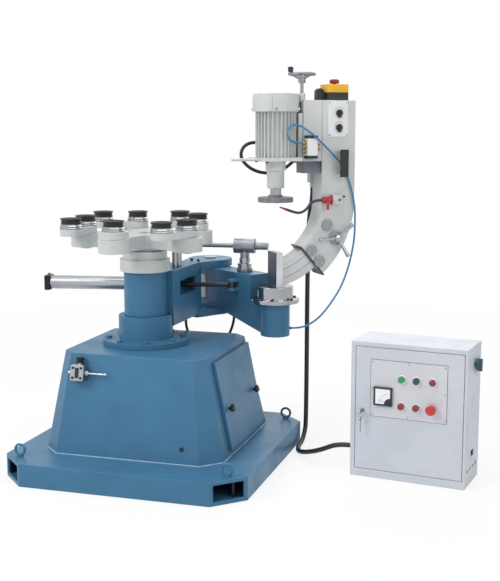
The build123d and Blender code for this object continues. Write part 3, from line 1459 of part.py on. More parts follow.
# ================================================================ main switch and the gear inside
knob_base = isolator_plate_thickness + face_gap
with BuildPart() as isolator:
    with BuildSketch(side_wall.offset(knob_base)):
        with Locations((isolator_y, isolator_z)):
            Circle(isolator_radius)
    extrude(amount=isolator_height / 2)
    with BuildSketch(side_wall.offset(knob_base)):
        with Locations((isolator_y, isolator_z)):
            Rectangle(isolator_grip, 2.2 * isolator_radius)
    extrude(amount=isolator_height)
    with BuildSketch(side_wall.offset(knob_base)):
        with Locations((isolator_y, isolator_z)):
            Circle(isolator_stem)
    extrude(amount=-knob_base - 3 * cabinet_wall)
write(isolator.part, "isolator_knob")

inner_back = cabinet_depth - cabinet_wall
plate_front = inner_back - standoff_length - back_plate_thickness
gear_sizes = {
    "breaker": (-110, 395, 72, 85, 60),
    "contactor_one": (-5, 390, 46, 78, 82),
    "contactor_two": (55, 390, 46, 78, 82),
    "contactor_three": (115, 390, 46, 78, 82),
    "transformer": (-100, 240, 96, 84, 74),
    "drive": (75, 230, 130, 160, 110),
    "terminals": (0, 95, 300, 34, 42),
}
with BuildPart() as gear:
    with BuildSketch(cabinet_front(plate_front + back_plate_thickness)):
        with Locations((cabinet_middle, cabinet_height / 2)):
            Rectangle(back_plate_width, back_plate_height)
    extrude(amount=back_plate_thickness)
    with BuildSketch(cabinet_front(inner_back)):
        with Locations((cabinet_middle, cabinet_height / 2)):
            with GridLocations(0.9 * back_plate_width, 0.9 * back_plate_height, 2, 2):
                Circle(standoff_radius)
    extrude(amount=standoff_length)
    for gear_x, gear_z, width, height, depth in gear_sizes.values():
        with BuildSketch(cabinet_front(plate_front)):
            with Locations((cabinet_middle + gear_x, gear_z)):
                Rectangle(width, height)
        extrude(amount=depth)
write(gear.part, "control_gear")

# ================================================================ cords
riser_top = 965
riser_points = [
    (riser_u, riser_n, riser_join),
    (riser_u, riser_n, riser_top),
    (riser_u, entry_n, riser_top + 95),
    (riser_u, entry_n, entry_bottom),
]
upper = tube("main_cable_upper", [head_point(*point) for point in riser_points], main_cable_radius)
write(upper.part, "main_cable_upper")

riser_foot = head_point(riser_u, riser_n, 0)
foot_x, foot_y = riser_foot.X, riser_foot.Y
gland_end = cable_wall.from_local_coords((0, 0, cable_gland_length))
gland_run = cable_wall.from_local_coords((0, 0, cable_gland_length + 60))
floor_z = main_cable_radius + 1
lower_points = [
    gland_end,
    gland_run,
    (728, 92, 58),
    (660, 140, 27),
    (606, 190, floor_z),
    (588, foot_y - 153, floor_z),
    (foot_x, foot_y - 74, floor_z),
    (foot_x, foot_y - 27, floor_z + 27),
    (foot_x, foot_y, floor_z + 74),
    (foot_x, foot_y, riser_join),
]
lower = tube("main_cable_lower", lower_points, main_cable_radius)
write(lower.part, "main_cable_lower")

motor_points = [
    (terminal_left - motor_gland_length, motor_gland_n, motor_gland_z),
    (-78, motor_gland_n, motor_gland_z),
    (-107, -96, 1287),
    (-118, -98, 1257),
    (-107, -100, 1227),
    (-78, -100, 1200),
    (-36, -100, 1181),
    (14, -100, 1176),
    (63, -98, 1186),
    (97, -88, 1210),
    (122, -78, 1238),
    (motor_entry_u, motor_entry_n, 1268),
    (motor_entry_u, motor_entry_n, motor_entry_bottom),
]
motor_line = tube("motor_cable", [head_point(*point) for point in motor_points], motor_cable_radius)
write(motor_line.part, "motor_cable")

hose_join = (334, 60, 975)
upper_hose_points = [
    (hose_start_u, hose_start_n, hose_start_z),
    (66, hose_start_n, hose_start_z),
    (40, 88, 1309),
    (16, 100, 1322),
    (8, 104, 1344.6),
    (16, 102, 1367),
    (38, 97, 1379),
    (66, 94, 1375),
    (94, 92, 1360),
    (123, 91, 1341),
    (156, 89, 1314),
    (194, 80, 1283),
    (228, 68, 1255),
    (262, 62.5, 1224),
    (290, 61, 1180),
    (312, 60, 1125),
    (326, 60, 1070),
    (334, 60, 1024),
    hose_join,
]
upper_hose = tube("air_hose_upper", [head_point(*point) for point in upper_hose_points], air_hose_radius)
write(upper_hose.part, "air_hose_upper")

boss_port_end = boss_port.from_local_coords((0, 0, boss_radius + fitting_length / 2))
boss_port_run = boss_port.from_local_coords((0, 0, boss_radius + fitting_length / 2 + 38))
lower_hose_points = [
    (146, 44, 552),
    (190, 46, 583),
    (232, 50, 634),
    (274, 54, 697),
    (302, 56, 765),
    (322, 58, 840),
    (334, 60, 915),
    hose_join,
]
lower_hose_route = [boss_port_end, boss_port_run] + [head_point(*point) for point in lower_hose_points]
lower_hose = tube("air_hose_lower", lower_hose_route, air_hose_radius)
write(lower_hose.part, "air_hose_lower")

ear_gland_end = ear_gland.Z - cable_gland_length / 2
clip_bottom = link_clip.Z
loop_points = [
    (ear_gland.X, ear_gland.Y, ear_gland_end),
    (ear_gland.X, ear_gland.Y, ear_gland_end - 38),
    (60, 358, 452),
    (84, 385, 415),
    (130, 410, 395),
    (185, 428, 405),
    (222, 430, 445),
    (243, 420, 492),
    (link_clip.X, link_clip.Y, clip_bottom - 40),
    (link_clip.X, link_clip.Y, clip_bottom),
]
arm_loop = tube("arm_cable", loop_points, arm_cable_radius)
write(arm_loop.part, "arm_cable")
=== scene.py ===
import json
import math

import bpy
from mathutils import Matrix, Vector


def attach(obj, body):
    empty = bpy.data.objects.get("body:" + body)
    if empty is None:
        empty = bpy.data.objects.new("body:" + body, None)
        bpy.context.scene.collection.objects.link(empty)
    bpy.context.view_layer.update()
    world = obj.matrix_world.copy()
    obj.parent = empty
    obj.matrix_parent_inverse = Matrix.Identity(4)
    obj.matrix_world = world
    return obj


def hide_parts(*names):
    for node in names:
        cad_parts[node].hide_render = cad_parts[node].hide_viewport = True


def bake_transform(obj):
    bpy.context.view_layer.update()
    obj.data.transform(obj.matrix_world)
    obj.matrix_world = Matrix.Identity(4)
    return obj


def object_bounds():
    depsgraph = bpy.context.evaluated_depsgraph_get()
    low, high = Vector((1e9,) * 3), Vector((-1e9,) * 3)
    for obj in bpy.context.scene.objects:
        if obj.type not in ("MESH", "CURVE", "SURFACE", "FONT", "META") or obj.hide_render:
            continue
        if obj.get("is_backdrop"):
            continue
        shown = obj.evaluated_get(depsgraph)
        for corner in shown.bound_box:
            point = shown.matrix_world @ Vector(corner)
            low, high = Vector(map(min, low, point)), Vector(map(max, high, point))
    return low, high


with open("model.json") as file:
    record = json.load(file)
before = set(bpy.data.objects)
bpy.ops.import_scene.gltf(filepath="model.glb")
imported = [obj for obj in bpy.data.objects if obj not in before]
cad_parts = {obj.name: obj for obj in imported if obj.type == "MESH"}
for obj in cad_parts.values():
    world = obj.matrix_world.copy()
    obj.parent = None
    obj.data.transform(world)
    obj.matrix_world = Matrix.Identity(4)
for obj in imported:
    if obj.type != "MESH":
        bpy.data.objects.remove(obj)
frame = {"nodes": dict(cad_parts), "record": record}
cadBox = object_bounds()
bodyOf = {node: body for body, nodes in frame["record"]["behaviour"]["bodies"].items() for node in nodes}
jointOf = {joint["name"]: joint for joint in frame["record"]["behaviour"]["joints"]}
print("frame loaded")


# ---- places in metres; what the head's and the cabinet's functions take is in millimetres
def turned(angle):
    return Vector((math.cos(math.radians(angle)), math.sin(math.radians(angle)), 0))


def placed(origin, across, out):
    # local x runs along across and local z points out of the surface
    out = Vector(out).normalized()
    across = Vector(across)
    across = (across - across.dot(out) * out).normalized()
    turn = Matrix((across, out.cross(across), out)).transposed().to_4x4()
    return Matrix.Translation(Vector(origin)) @ turn


def jointPoint(name):
    return Vector(jointOf[name]["pos_m"])


def jointFoot(name):
    # the point on the floor under a joint
    return jointPoint(name) * Vector((1, 1, 0))


atOrigin = Matrix.Identity(4)
up = Vector((0, 0, 1))
headAcross, headOut = turned(37), turned(-53)
bossAxis = jointFoot("head_swivel")
cabinetAcross, cabinetOut = turned(-8), turned(-98)
cabinetCorner = Vector((0.870, -0.012, 0))
armAlong, armSide = turned(76.2), turned(166.2)
linkAlong = turned(-36.2)
elbowAxis = jointFoot("elbow_swing")
trunnion = jointPoint("cylinder_swing")


def headPoint(u, n, z):
    return bossAxis + (headAcross * u + headOut * n + up * z) / 1000


def headFront(u, n, z):
    return placed(headPoint(u, n, z), headAcross, headOut)


def headTop(u, n, z):
    return placed(headPoint(u, n, z), headAcross, up)


def headSide(u, n, z, facing=-1):
    return placed(headPoint(u, n, z), up, headAcross * facing)


def cabinetPoint(x, depth, z):
    return cabinetCorner + (cabinetAcross * x - cabinetOut * depth + up * z) / 1000


def cabinetFront(x, z, ahead=0):
    return placed(cabinetPoint(x, -ahead, z), cabinetAcross, cabinetOut)


def cabinetSide(depth, z, ahead=0):
    return placed(cabinetPoint(461 + ahead, depth, z), -cabinetOut, cabinetAcross)


# ---- working by hand, in code
def deselectAll():
    active = bpy.context.view_layer.objects.active
    if active and active.mode != "OBJECT":
        bpy.ops.object.mode_set(mode="OBJECT")
    bpy.ops.object.select_all(action="DESELECT")


def pickOnly(*pieces):
    deselectAll()
    for piece in pieces:
        piece.select_set(True)
    bpy.context.view_layer.objects.active = pieces[0]


def editAll(piece):
    # edit mode, with the whole mesh selected
    pickOnly(piece)
    bpy.ops.object.mode_set(mode="EDIT")
    bpy.ops.mesh.select_all(action="SELECT")


def facesOut():
    # all faces turned outwards, and back to object mode
    bpy.ops.mesh.select_all(action="SELECT")
    bpy.ops.mesh.normals_make_consistent(inside=False)
    bpy.ops.object.mode_set(mode="OBJECT")


def settle(piece, name, place):
    piece.matrix_world = place @ piece.matrix_world
    pickOnly(piece)
    bpy.ops.object.transform_apply(location=True, rotation=True, scale=True)
    piece.name = name
    piece.data.name = name
    return piece


def shaped(piece, kind, **settings):
    # a modifier with its settings, applied to the mesh
    modifier = piece.modifiers.new(kind, kind)
    for name, value in settings.items():
        setattr(modifier, name, value)
    pickOnly(piece)
    bpy.ops.object.modifier_apply(modifier=modifier.name)
    return piece


def smoothed(piece, angle=32):
    # smooth shading up to the angle, with flat faces kept flat
    pickOnly(piece)
    bpy.ops.object.shade_smooth_by_angle(angle=math.radians(angle))
    return shaped(piece, "WEIGHTED_NORMAL", weight=100, keep_sharp=True)


def roundedOff(piece, width, **settings):
    # corners above 38 degrees rounded, width in millimetres
    corner = math.radians(38)
    return shaped(
        piece, "BEVEL", width=width / 1000, segments=2, limit_method="ANGLE", angle_limit=corner, **settings
    )


def joined(name, pieces):
    pickOnly(*pieces)
    if len(pieces) > 1:
        bpy.ops.object.join()
    piece = bpy.context.view_layer.objects.active
    piece.name = name
    piece.data.name = name
    return piece


def turnedPiece(name, place, steps, segments=40):
    # steps are (radius, height) in millimetres, from the bottom to the top
    deselectAll()
    radius, height = steps[0][0] / 1000, steps[0][1] / 1000
    bpy.ops.mesh.primitive_circle_add(
        vertices=segments, radius=radius, fill_type="NGON", location=(0, 0, height)
    )
    piece = bpy.context.view_layer.objects.active
    editAll(piece)
    for step in steps[1:]:
        nextRadius, nextHeight = step[0] / 1000, step[1] / 1000
        bpy.ops.mesh.extrude_region_move(TRANSFORM_OT_translate={"value": (0, 0, nextHeight - height)})
        share = nextRadius / radius
        bpy.ops.transform.resize(value=(share, share, 1), center_override=(0, 0, nextHeight))
        radius, height = nextRadius, nextHeight
    facesOut()
    return smoothed(settle(piece, name, place))


def blockPiece(name, place, size, rounding=1.0, segments=3):
    # size is in millimetres; the block's back face is on the place
    deselectAll()
    bpy.ops.mesh.primitive_cube_add(size=0.001, location=(0, 0, size[2] / 2000))
    piece = bpy.context.view_layer.objects.active
    editAll(piece)
    bpy.ops.transform.resize(value=size, center_override=(0, 0, size[2] / 2000))
    bpy.ops.mesh.bevel(offset=rounding / 1000, segments=segments, affect="EDGES")
    bpy.ops.object.mode_set(mode="OBJECT")
    return smoothed(settle(piece, name, place))


def repeated(name, model, moves):
    # copies of one model, each with its own mesh, joined to one piece
    copies = []
    for move in moves:
        copy = model.copy()
        copy.data = model.data.copy()
        bpy.context.collection.objects.link(copy)
        copies.append(settle(copy, name, move))
    bpy.data.objects.remove(model)
    return joined(name, copies)


def finished(piece, finish, body, node=None, smooth=None):
    # smooth is an angle, for a piece whose shading is still to be set
    if smooth:
        smoothed(piece, smooth)
    piece.data.materials.clear()
    piece.data.materials.append(look[finish])
    if node:
        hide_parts(node)
    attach(piece, body)
    return piece


def softenedSolids(node, choose, rounding):
    # a merged copy of a node's solids with its corners rounded, one piece for each name that choose gives
    source = frame["nodes"][node]
    copy = source.copy()
    copy.data = source.data.copy()
    bpy.context.collection.objects.link(copy)
    copy.parent = None
    copy.matrix_world = atOrigin
    editAll(copy)
    bpy.ops.mesh.remove_doubles(threshold=0.000002)
    bpy.ops.mesh.separate(type="LOOSE")
    bpy.ops.object.mode_set(mode="OBJECT")
    groups = {}
    for solid in list(bpy.context.selected_objects):
        spots = [vertex.co for vertex in solid.data.vertices]
        low, high = [Vector([end(spot[i] for spot in spots) for i in range(3)]) * 1000 for end in (min, max)]
        groups.setdefault(choose(low, high), []).append(solid)
    pieces = {}
    for name in sorted(groups):
        piece = joined(name, groups[name])
        if rounding.get(name):
            editAll(piece)
            bpy.ops.mesh.dissolve_limited(angle_limit=math.radians(0.6))
            bpy.ops.object.mode_set(mode="OBJECT")
            roundedOff(piece, rounding[name], use_clamp_overlap=False, miter_outer="MITER_ARC")
        pieces[name] = smoothed(piece)
    return pieces


def addFinish(piece, finish, chosen):
    # one more finish, for the faces that chosen picks
    piece.data.materials.append(look[finish])
    number = len(piece.data.materials) - 1
    for face in piece.data.polygons:
        if chosen(face):
            face.material_index = number


def splitFinish(piece, point, normal, finish):
    # the faces beyond a cutting plane get a second finish
    editAll(piece)
    bpy.ops.mesh.bisect(plane_co=point, plane_no=normal)
    bpy.ops.object.mode_set(mode="OBJECT")
    addFinish(piece, finish, lambda face: (face.center - Vector(point)).dot(Vector(normal)) > 0)


# ---- shader groups
def addNode(tree, kind, inputs, **settings):
    # each input gets a value, or a link from another node's output
    node = tree.nodes.new("ShaderNode" + kind)
    for name, value in settings.items():
        setattr(node, name, value)
    for name, value in inputs.items():
        if isinstance(value, bpy.types.NodeSocket):
            tree.links.new(value, node.inputs[name])
        else:
            node.inputs[name].default_value = value
    return node


def newGroup(name, inputs, outputs):
    group = bpy.data.node_groups.new(name, "ShaderNodeTree")
    for socketName, value in inputs.items():
        socket = group.interface.new_socket(name=socketName, in_out="INPUT", socket_type="NodeSocketFloat")
        socket.default_value = value
    for socketName in outputs:
        group.interface.new_socket(name=socketName, in_out="OUTPUT", socket_type="NodeSocketFloat")
    return group, group.nodes.new("NodeGroupInput").outputs, group.nodes.new("NodeGroupOutput").inputs


def grainGroup():
    # fine height and broad mask, with the grain drawn out along an axis by the stretches
    inputs = {"Scale": 300.0, "Stretch X": 1.0, "Stretch Y": 1.0, "Stretch Z": 1.0, "Patch Scale": 6.0}
    group, given, result = newGroup("grain", inputs, ["Height", "Patches"])
    spot = addNode(group, "TexCoord", {}).outputs["Object"]
    stretch = addNode(group, "CombineXYZ", {axis: given["Stretch " + axis] for axis in "XYZ"})
    drawn = addNode(group, "VectorMath", {0: spot, 1: stretch.outputs[0]}, operation="MULTIPLY")
    fine = addNode(group, "TexNoise", {"Vector": drawn.outputs[0], "Scale": given["Scale"], "Detail": 3})
    broad = addNode(
        group, "TexNoise", {"Vector": spot, "Scale": given["Patch Scale"], "Detail": 5, "Roughness": 0.62}
    )
    contrast = addNode(group, "MapRange", {"Value": broad.outputs[0], "From Min": 0.34, "From Max": 0.66})
    group.links.new(fine.outputs[0], result["Height"])
    group.links.new(contrast.outputs[0], result["Patches"])
    return group


def edgeWearAndHighlightGroup():
    # rubbed corners and a painted highlight along the edges: where a rounded normal leaves the true one,
    # broken up by noise
    group, given, result = newGroup("edgeWear", {"Radius": 0.003, "Amount": 1.0, "Break Up": 45.0}, ["Wear"])
    rounded = addNode(group, "Bevel", {"Radius": given["Radius"]}, samples=4).outputs[0]
    surface = addNode(group, "NewGeometry", {}).outputs["Normal"]
    match = addNode(group, "VectorMath", {0: rounded, 1: surface}, operation="DOT_PRODUCT")
    away = addNode(group, "MapRange", {"Value": match.outputs["Value"], "From Min": 0.985, "From Max": 0.80})
    spot = addNode(group, "TexCoord", {}).outputs["Object"]
    edgeBreakNoise = addNode(group, "TexNoise", {"Vector": spot, "Scale": given["Break Up"], "Detail": 4})
    edgeBreakMask = addNode(group, "MapRange", {"Value": edgeBreakNoise.outputs[0], "From Min": 0.38, "From Max": 0.62})
    both = addNode(group, "Math", {0: away.outputs[0], 1: edgeBreakMask.outputs[0]}, operation="MULTIPLY")
    wearAndHighlight = {0: both.outputs[0], 1: given["Amount"]}
    scaled = addNode(group, "Math", wearAndHighlight, operation="MULTIPLY", use_clamp=True)
    group.links.new(scaled.outputs[0], result["Wear"])
    return group


grain = grainGroup()
edgeWear = edgeWearAndHighlightGroup()


def linear(red, green, blue):
    # screen colour, 0 to 255, to the shader's linear colour
    shares = [value / 255 for value in (red, green, blue)]
    return (*[share / 12.92 if share <= 0.04045 else ((share + 0.055) / 1.055) ** 2.4 for share in shares], 1)


def makeMaterial(
    name, colour, patch, roughness, scale, relief, metallic=0, stretch=(1, 1, 1), patches=6, depth=0.0002,
    coat=0, specular=0.5, edge=None, edgeAmount=0.0, edgeRadius=0.003, sheen=0,
):
    material = bpy.data.materials.new(name)
    material.use_nodes = True
    material.diffuse_color = linear(*colour)
    tree = material.node_tree
    shader = tree.nodes["Principled BSDF"].inputs
    fixed = {
        "Metallic": metallic, "Specular IOR Level": specular, "Coat Weight": coat, "Coat Roughness": 0.12,
        "Sheen Weight": sheen,
    }
    for socketName, value in fixed.items():
        shader[socketName].default_value = value
    values = {"Scale": scale, "Patch Scale": patches}
    values.update({"Stretch " + axis: value for axis, value in zip("XYZ", stretch)})
    surface = addNode(tree, "Group", values, node_tree=grain)
    mask = surface.outputs["Patches"]
    colours = {"Factor": mask, "A": linear(*colour), "B": linear(*patch)}
    baseColour = addNode(tree, "Mix", colours, data_type="RGBA").outputs["Result"]
    # the edge colour, lighter than the finish, is rubbed paint and a painted highlight along the corners
    if edge:
        rubAndHighlight = addNode(tree, "Group", {"Radius": edgeRadius, "Amount": edgeAmount}, node_tree=edgeWear)
        colours = {"Factor": rubAndHighlight.outputs["Wear"], "A": baseColour, "B": linear(*edge)}
        baseColour = addNode(tree, "Mix", colours, data_type="RGBA").outputs["Result"]
    tree.links.new(baseColour, shader["Base Color"])
    gloss = addNode(tree, "MapRange", {"Value": mask, "To Min": roughness[0], "To Max": roughness[1]})
    tree.links.new(gloss.outputs[0], shader["Roughness"])
    height = surface.outputs["Height"]
    bump = addNode(tree, "Bump", {"Height": height, "Strength": relief, "Distance": depth})
    tree.links.new(bump.outputs[0], shader["Normal"])
    return material


finishes = {
    # name: (colour, patch colour, roughness, grain scale, relief, others)
    # edge colours are lighter copies of each finish: rubbed paint and a painted highlight along the corners
    "blueEnamel": ((67, 117, 150), (61, 109, 142), (0.34, 0.46), 260, 0.16, dict(
        coat=0.06, specular=0.22, edge=(128, 158, 178), edgeAmount=0.5, edgeRadius=0.004)),
    "greyEnamel": ((202, 205, 204), (190, 194, 193), (0.34, 0.46), 240, 0.14, dict(
        coat=0.15, edge=(232, 232, 230), edgeAmount=0.4)),
    "starEnamel": ((194, 199, 198), (182, 187, 186), (0.32, 0.46), 160, 0.25, dict(
        coat=0.2, edge=(236, 238, 235), edgeAmount=0.45)),
    "motorEnamel": ((204, 207, 205), (190, 194, 192), (0.38, 0.5), 200, 0.3, dict(
        coat=0.1, edge=(232, 234, 233), edgeAmount=0.6, edgeRadius=0.002)),
    "cabinetEnamel": ((198, 203, 211), (190, 195, 204), (0.42, 0.52), 420, 0.3, dict(
        depth=0.0003, edge=(226, 227, 234), edgeAmount=0.3)),
    "panelSheet": ((205, 205, 211), (199, 199, 206), (0.3, 0.38), 500, 0.05, dict()),
    "whiteSheet": ((228, 230, 231), (220, 222, 224), (0.3, 0.4), 500, 0.05, dict()),
    "groundSteel": ((176, 178, 180), (160, 162, 165), (0.22, 0.34), 120, 0.08, dict(
        metallic=1, stretch=(1, 1, 14))),
    "turnedSteel": ((150, 152, 158), (132, 134, 141), (0.24, 0.36), 150, 0.07, dict(
        metallic=1, stretch=(1, 1, 20))),
    "brightAluminium": ((176, 178, 182), (160, 162, 167), (0.26, 0.36), 90, 0.06, dict(
        metallic=1, stretch=(8, 1, 1))),
    "railSteel": ((196, 198, 200), (182, 184, 187), (0.3, 0.42), 120, 0.08, dict(
        metallic=0.6, stretch=(1, 1, 10))),
    "plateSteel": ((118, 124, 132), (98, 104, 112), (0.3, 0.42), 140, 0.1, dict(
        metallic=0.75, stretch=(1, 1, 12), edge=(176, 180, 184), edgeAmount=0.5)),
    "chrome": ((172, 174, 178), (158, 160, 165), (0.1, 0.18), 60, 0.02, dict(metallic=1)),
    "darkSteel": ((62, 66, 72), (48, 52, 58), (0.32, 0.48), 200, 0.15, dict(
        metallic=0.8, edge=(120, 122, 126), edgeAmount=0.4, edgeRadius=0.0015)),
    "blackOxide": ((30, 31, 34), (22, 23, 26), (0.3, 0.42), 300, 0.1, dict(metallic=0.4)),
    "blackPlastic": ((30, 31, 33), (24, 25, 27), (0.38, 0.5), 700, 0.18, dict()),
    "blackRubber": ((27, 27, 28), (38, 38, 39), (0.55, 0.7), 500, 0.25, dict(patches=30, sheen=0.1)),
    "cableSheath": ((25, 26, 28), (34, 35, 37), (0.4, 0.52), 400, 0.12, dict(patches=20)),
    "blueHose": ((24, 112, 160), (32, 122, 170), (0.22, 0.32), 300, 0.04, dict(coat=0.3, patches=15)),
    "coolantHose": ((62, 52, 78), (50, 44, 66), (0.4, 0.52), 400, 0.1, dict()),
    "redNozzle": ((166, 52, 46), (148, 44, 40), (0.35, 0.45), 400, 0.1, dict()),
    "redPaint": ((178, 44, 40), (160, 38, 36), (0.28, 0.4), 260, 0.15, dict(
        edge=(206, 120, 110), edgeAmount=0.4, edgeRadius=0.0015)),
    "redButton": ((190, 48, 44), (180, 42, 40), (0.22, 0.3), 500, 0.04, dict(coat=0.3)),
    "darkRedButton": ((132, 40, 42), (120, 36, 38), (0.2, 0.3), 500, 0.04, dict(coat=0.3)),
    "greenButton": ((46, 146, 92), (40, 134, 84), (0.2, 0.3), 500, 0.04, dict(coat=0.3)),
    "darkGreenButton": ((34, 74, 62), (30, 66, 56), (0.2, 0.3), 500, 0.04, dict(coat=0.3)),
    "yellowPlastic": ((240, 186, 34), (230, 176, 30), (0.34, 0.44), 500, 0.12, dict()),
    "tealPlastic": ((52, 88, 112), (44, 78, 100), (0.34, 0.44), 500, 0.1, dict()),
    "brass": ((176, 146, 92), (156, 128, 80), (0.24, 0.36), 200, 0.08, dict(metallic=1)),
    "capGrey": ((150, 152, 158), (138, 141, 147), (0.3, 0.42), 200, 0.1, dict(
        metallic=0.3, edge=(196, 198, 202), edgeAmount=0.5, edgeRadius=0.002)),
    "bracketSteel": ((146, 149, 156), (126, 129, 137), (0.3, 0.44), 160, 0.15, dict(
        metallic=0.8, edge=(176, 178, 184), edgeAmount=0.5, edgeRadius=0.002)),
    "ribbedSteel": ((222, 226, 230), (196, 200, 205), (0.3, 0.42), 90, 0.5, dict(
        metallic=0.2, stretch=(8, 8, 1), depth=0.001)),
    # near-white chrome for the button rings: chrome with a painted glint
    "ringChromeGlint": ((226, 226, 228), (214, 215, 218), (0.12, 0.2), 60, 0.02, dict(metallic=0.7)),
    "meterFrame": ((38, 46, 66), (32, 40, 58), (0.3, 0.4), 500, 0.06, dict()),
    # the weld bead's paler blue is a painted highlight on the housing's paint
    "weldBeadHighlight": ((158, 184, 202), (120, 152, 176), (0.34, 0.46), 300, 0.4, dict(
        depth=0.0005, patches=60, coat=0.1)),
    "meterFace": ((238, 239, 240), (233, 234, 236), (0.3, 0.36), 600, 0.02, dict(coat=0.4)),
    "abrasive": ((132, 134, 138), (112, 114, 118), (0.6, 0.8), 900, 0.6, dict(
        metallic=0.4, depth=0.0004, patches=40)),
    # the shade inside a hole, painted
    "holeShade": ((26, 32, 38), (20, 24, 30), (0.7, 0.8), 200, 0.1, dict()),
}
look = {name: makeMaterial(name, *values, **others) for name, (*values, others) in finishes.items()}
print("materials made")

# ---- camera, light and floor
view = {"place": (1.694, -4.091, 1.383), "tilt": 81.2, "turn": 16.9, "lens": 66.9}
bpy.ops.object.camera_add(
    location=view["place"], rotation=(math.radians(view["tilt"]), 0, math.radians(view["turn"]))
)
camera = bpy.context.object
camera.name = "camera"
camera.data.lens = view["lens"]
camera.data.sensor_width = 36
bpy.context.scene.camera = camera

lamps = {
    # name: (place, aim, size in metres, power in watts)
    "keyLamp": ((-2.3, -2.9, 3.3), (0.3, 0, 0.7), 2.2, 104),
    "fillLamp": ((3.6, -2.2, 2.4), (0.5, 0, 0.6), 2.4, 32),
    "backLamp": ((0.4, 3.4, 3.0), (0.4, 0, 0.8), 2.4, 48),
    "topLamp": ((0.4, -0.4, 4.0), (0.4, 0, 0.5), 2.6, 44),
}
for name, (spot, aim, size, power) in lamps.items():
    bpy.ops.object.light_add(type="AREA", location=spot)
    lamp = bpy.context.object
    lamp.name = name
    lamp.data.size = size
    lamp.data.energy = power
    lamp.rotation_euler = (Vector(aim) - Vector(spot)).to_track_quat("-Z", "Y").to_euler()


def seenDirectly(tree):
    # 1 for rays from the camera, a mirror or a glass
    rays = addNode(tree, "LightPath", {}).outputs
    seen = rays["Is Camera Ray"]
    for other in ("Is Glossy Ray", "Is Transmission Ray"):
        seen = addNode(tree, "Math", {0: seen, 1: rays[other]}, operation="MAXIMUM").outputs[0]
    return seen


room = {"light": 0.5, "background": 1.0}
world = bpy.data.worlds.new("studio")
world.use_nodes = True
bpy.context.scene.world = world
tree = world.node_tree
white = (1, 1, 1, 1)
ambient = tree.nodes["Background"]
ambient.inputs["Color"].default_value = white
ambient.inputs["Strength"].default_value = room["light"]
backdrop = addNode(tree, "Background", {"Color": white, "Strength": room["background"]})
choice = addNode(tree, "MixShader", {0: seenDirectly(tree), 1: ambient.outputs[0], 2: backdrop.outputs[0]})
tree.links.new(choice.outputs[0], tree.nodes["World Output"].inputs["Surface"])

floorLook = {
    "size": 60, "colour": (0.9, 0.9, 0.9, 1), "glow": (0.8, 1.0), "reach": (1.2, 4.5), "middle": (0.5, 0, 0),
}
bpy.ops.mesh.primitive_plane_add(size=floorLook["size"])
floor = bpy.context.object
floor.name = "studioFloor"
paper = bpy.data.materials.new("floorPaper")
paper.use_nodes = True
tree = paper.node_tree
shader = tree.nodes["Principled BSDF"]
shader.inputs["Base Color"].default_value = floorLook["colour"]
shader.inputs["Roughness"].default_value = 0.9
glow = addNode(tree, "Emission", {"Strength": 1})
spot = addNode(tree, "TexCoord", {}).outputs["Object"]
reach = addNode(tree, "VectorMath", {0: spot, 1: floorLook["middle"]}, operation="DISTANCE")
fade = addNode(tree, "MapRange", {
    "Value": reach.outputs["Value"], "From Min": floorLook["reach"][0], "From Max": floorLook["reach"][1],
    "To Min": floorLook["glow"][0], "To Max": floorLook["glow"][1],
})
share = addNode(tree, "Math", {0: seenDirectly(tree), 1: fade.outputs[0]}, operation="MULTIPLY")
choice = addNode(tree, "MixShader", {0: share.outputs[0], 1: shader.outputs[0], 2: glow.outputs[0]})
tree.links.new(choice.outputs[0], tree.nodes["Material Output"].inputs["Surface"])
floor.data.materials.append(paper)
floor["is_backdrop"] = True
bpy.context.scene.view_settings.view_transform = "Standard"
print("camera and lights set")


# ---- cords, on the routes of the source
def newCurve(name, kind, points):
    curve = bpy.data.curves.new(name, "CURVE")
    curve.dimensions = "3D"
    spline = curve.splines.new(kind)
    spline.points.add(len(points) - 1)
    for knot, point in zip(spline.points, points):
        knot.co = (*point, 1)
    spline.order_u = 3
    spline.use_endpoint_u = True
    return curve


def runCord(name, points, radius, finish):
    curve = newCurve(name, "NURBS", points)
    curve.bevel_depth = radius / 1000
    curve.bevel_resolution = 7
    curve.resolution_u = 14
    curve.use_fill_caps = True
    cord = bpy.data.objects.new(name, curve)
    bpy.context.collection.objects.link(cord)
    curve.materials.append(look[finish])
    return cord


def headRoute(*points):
    return [headPoint(*point) for point in points]


def floorRoute(*points):
    return [Vector(point) / 1000 for point in points]


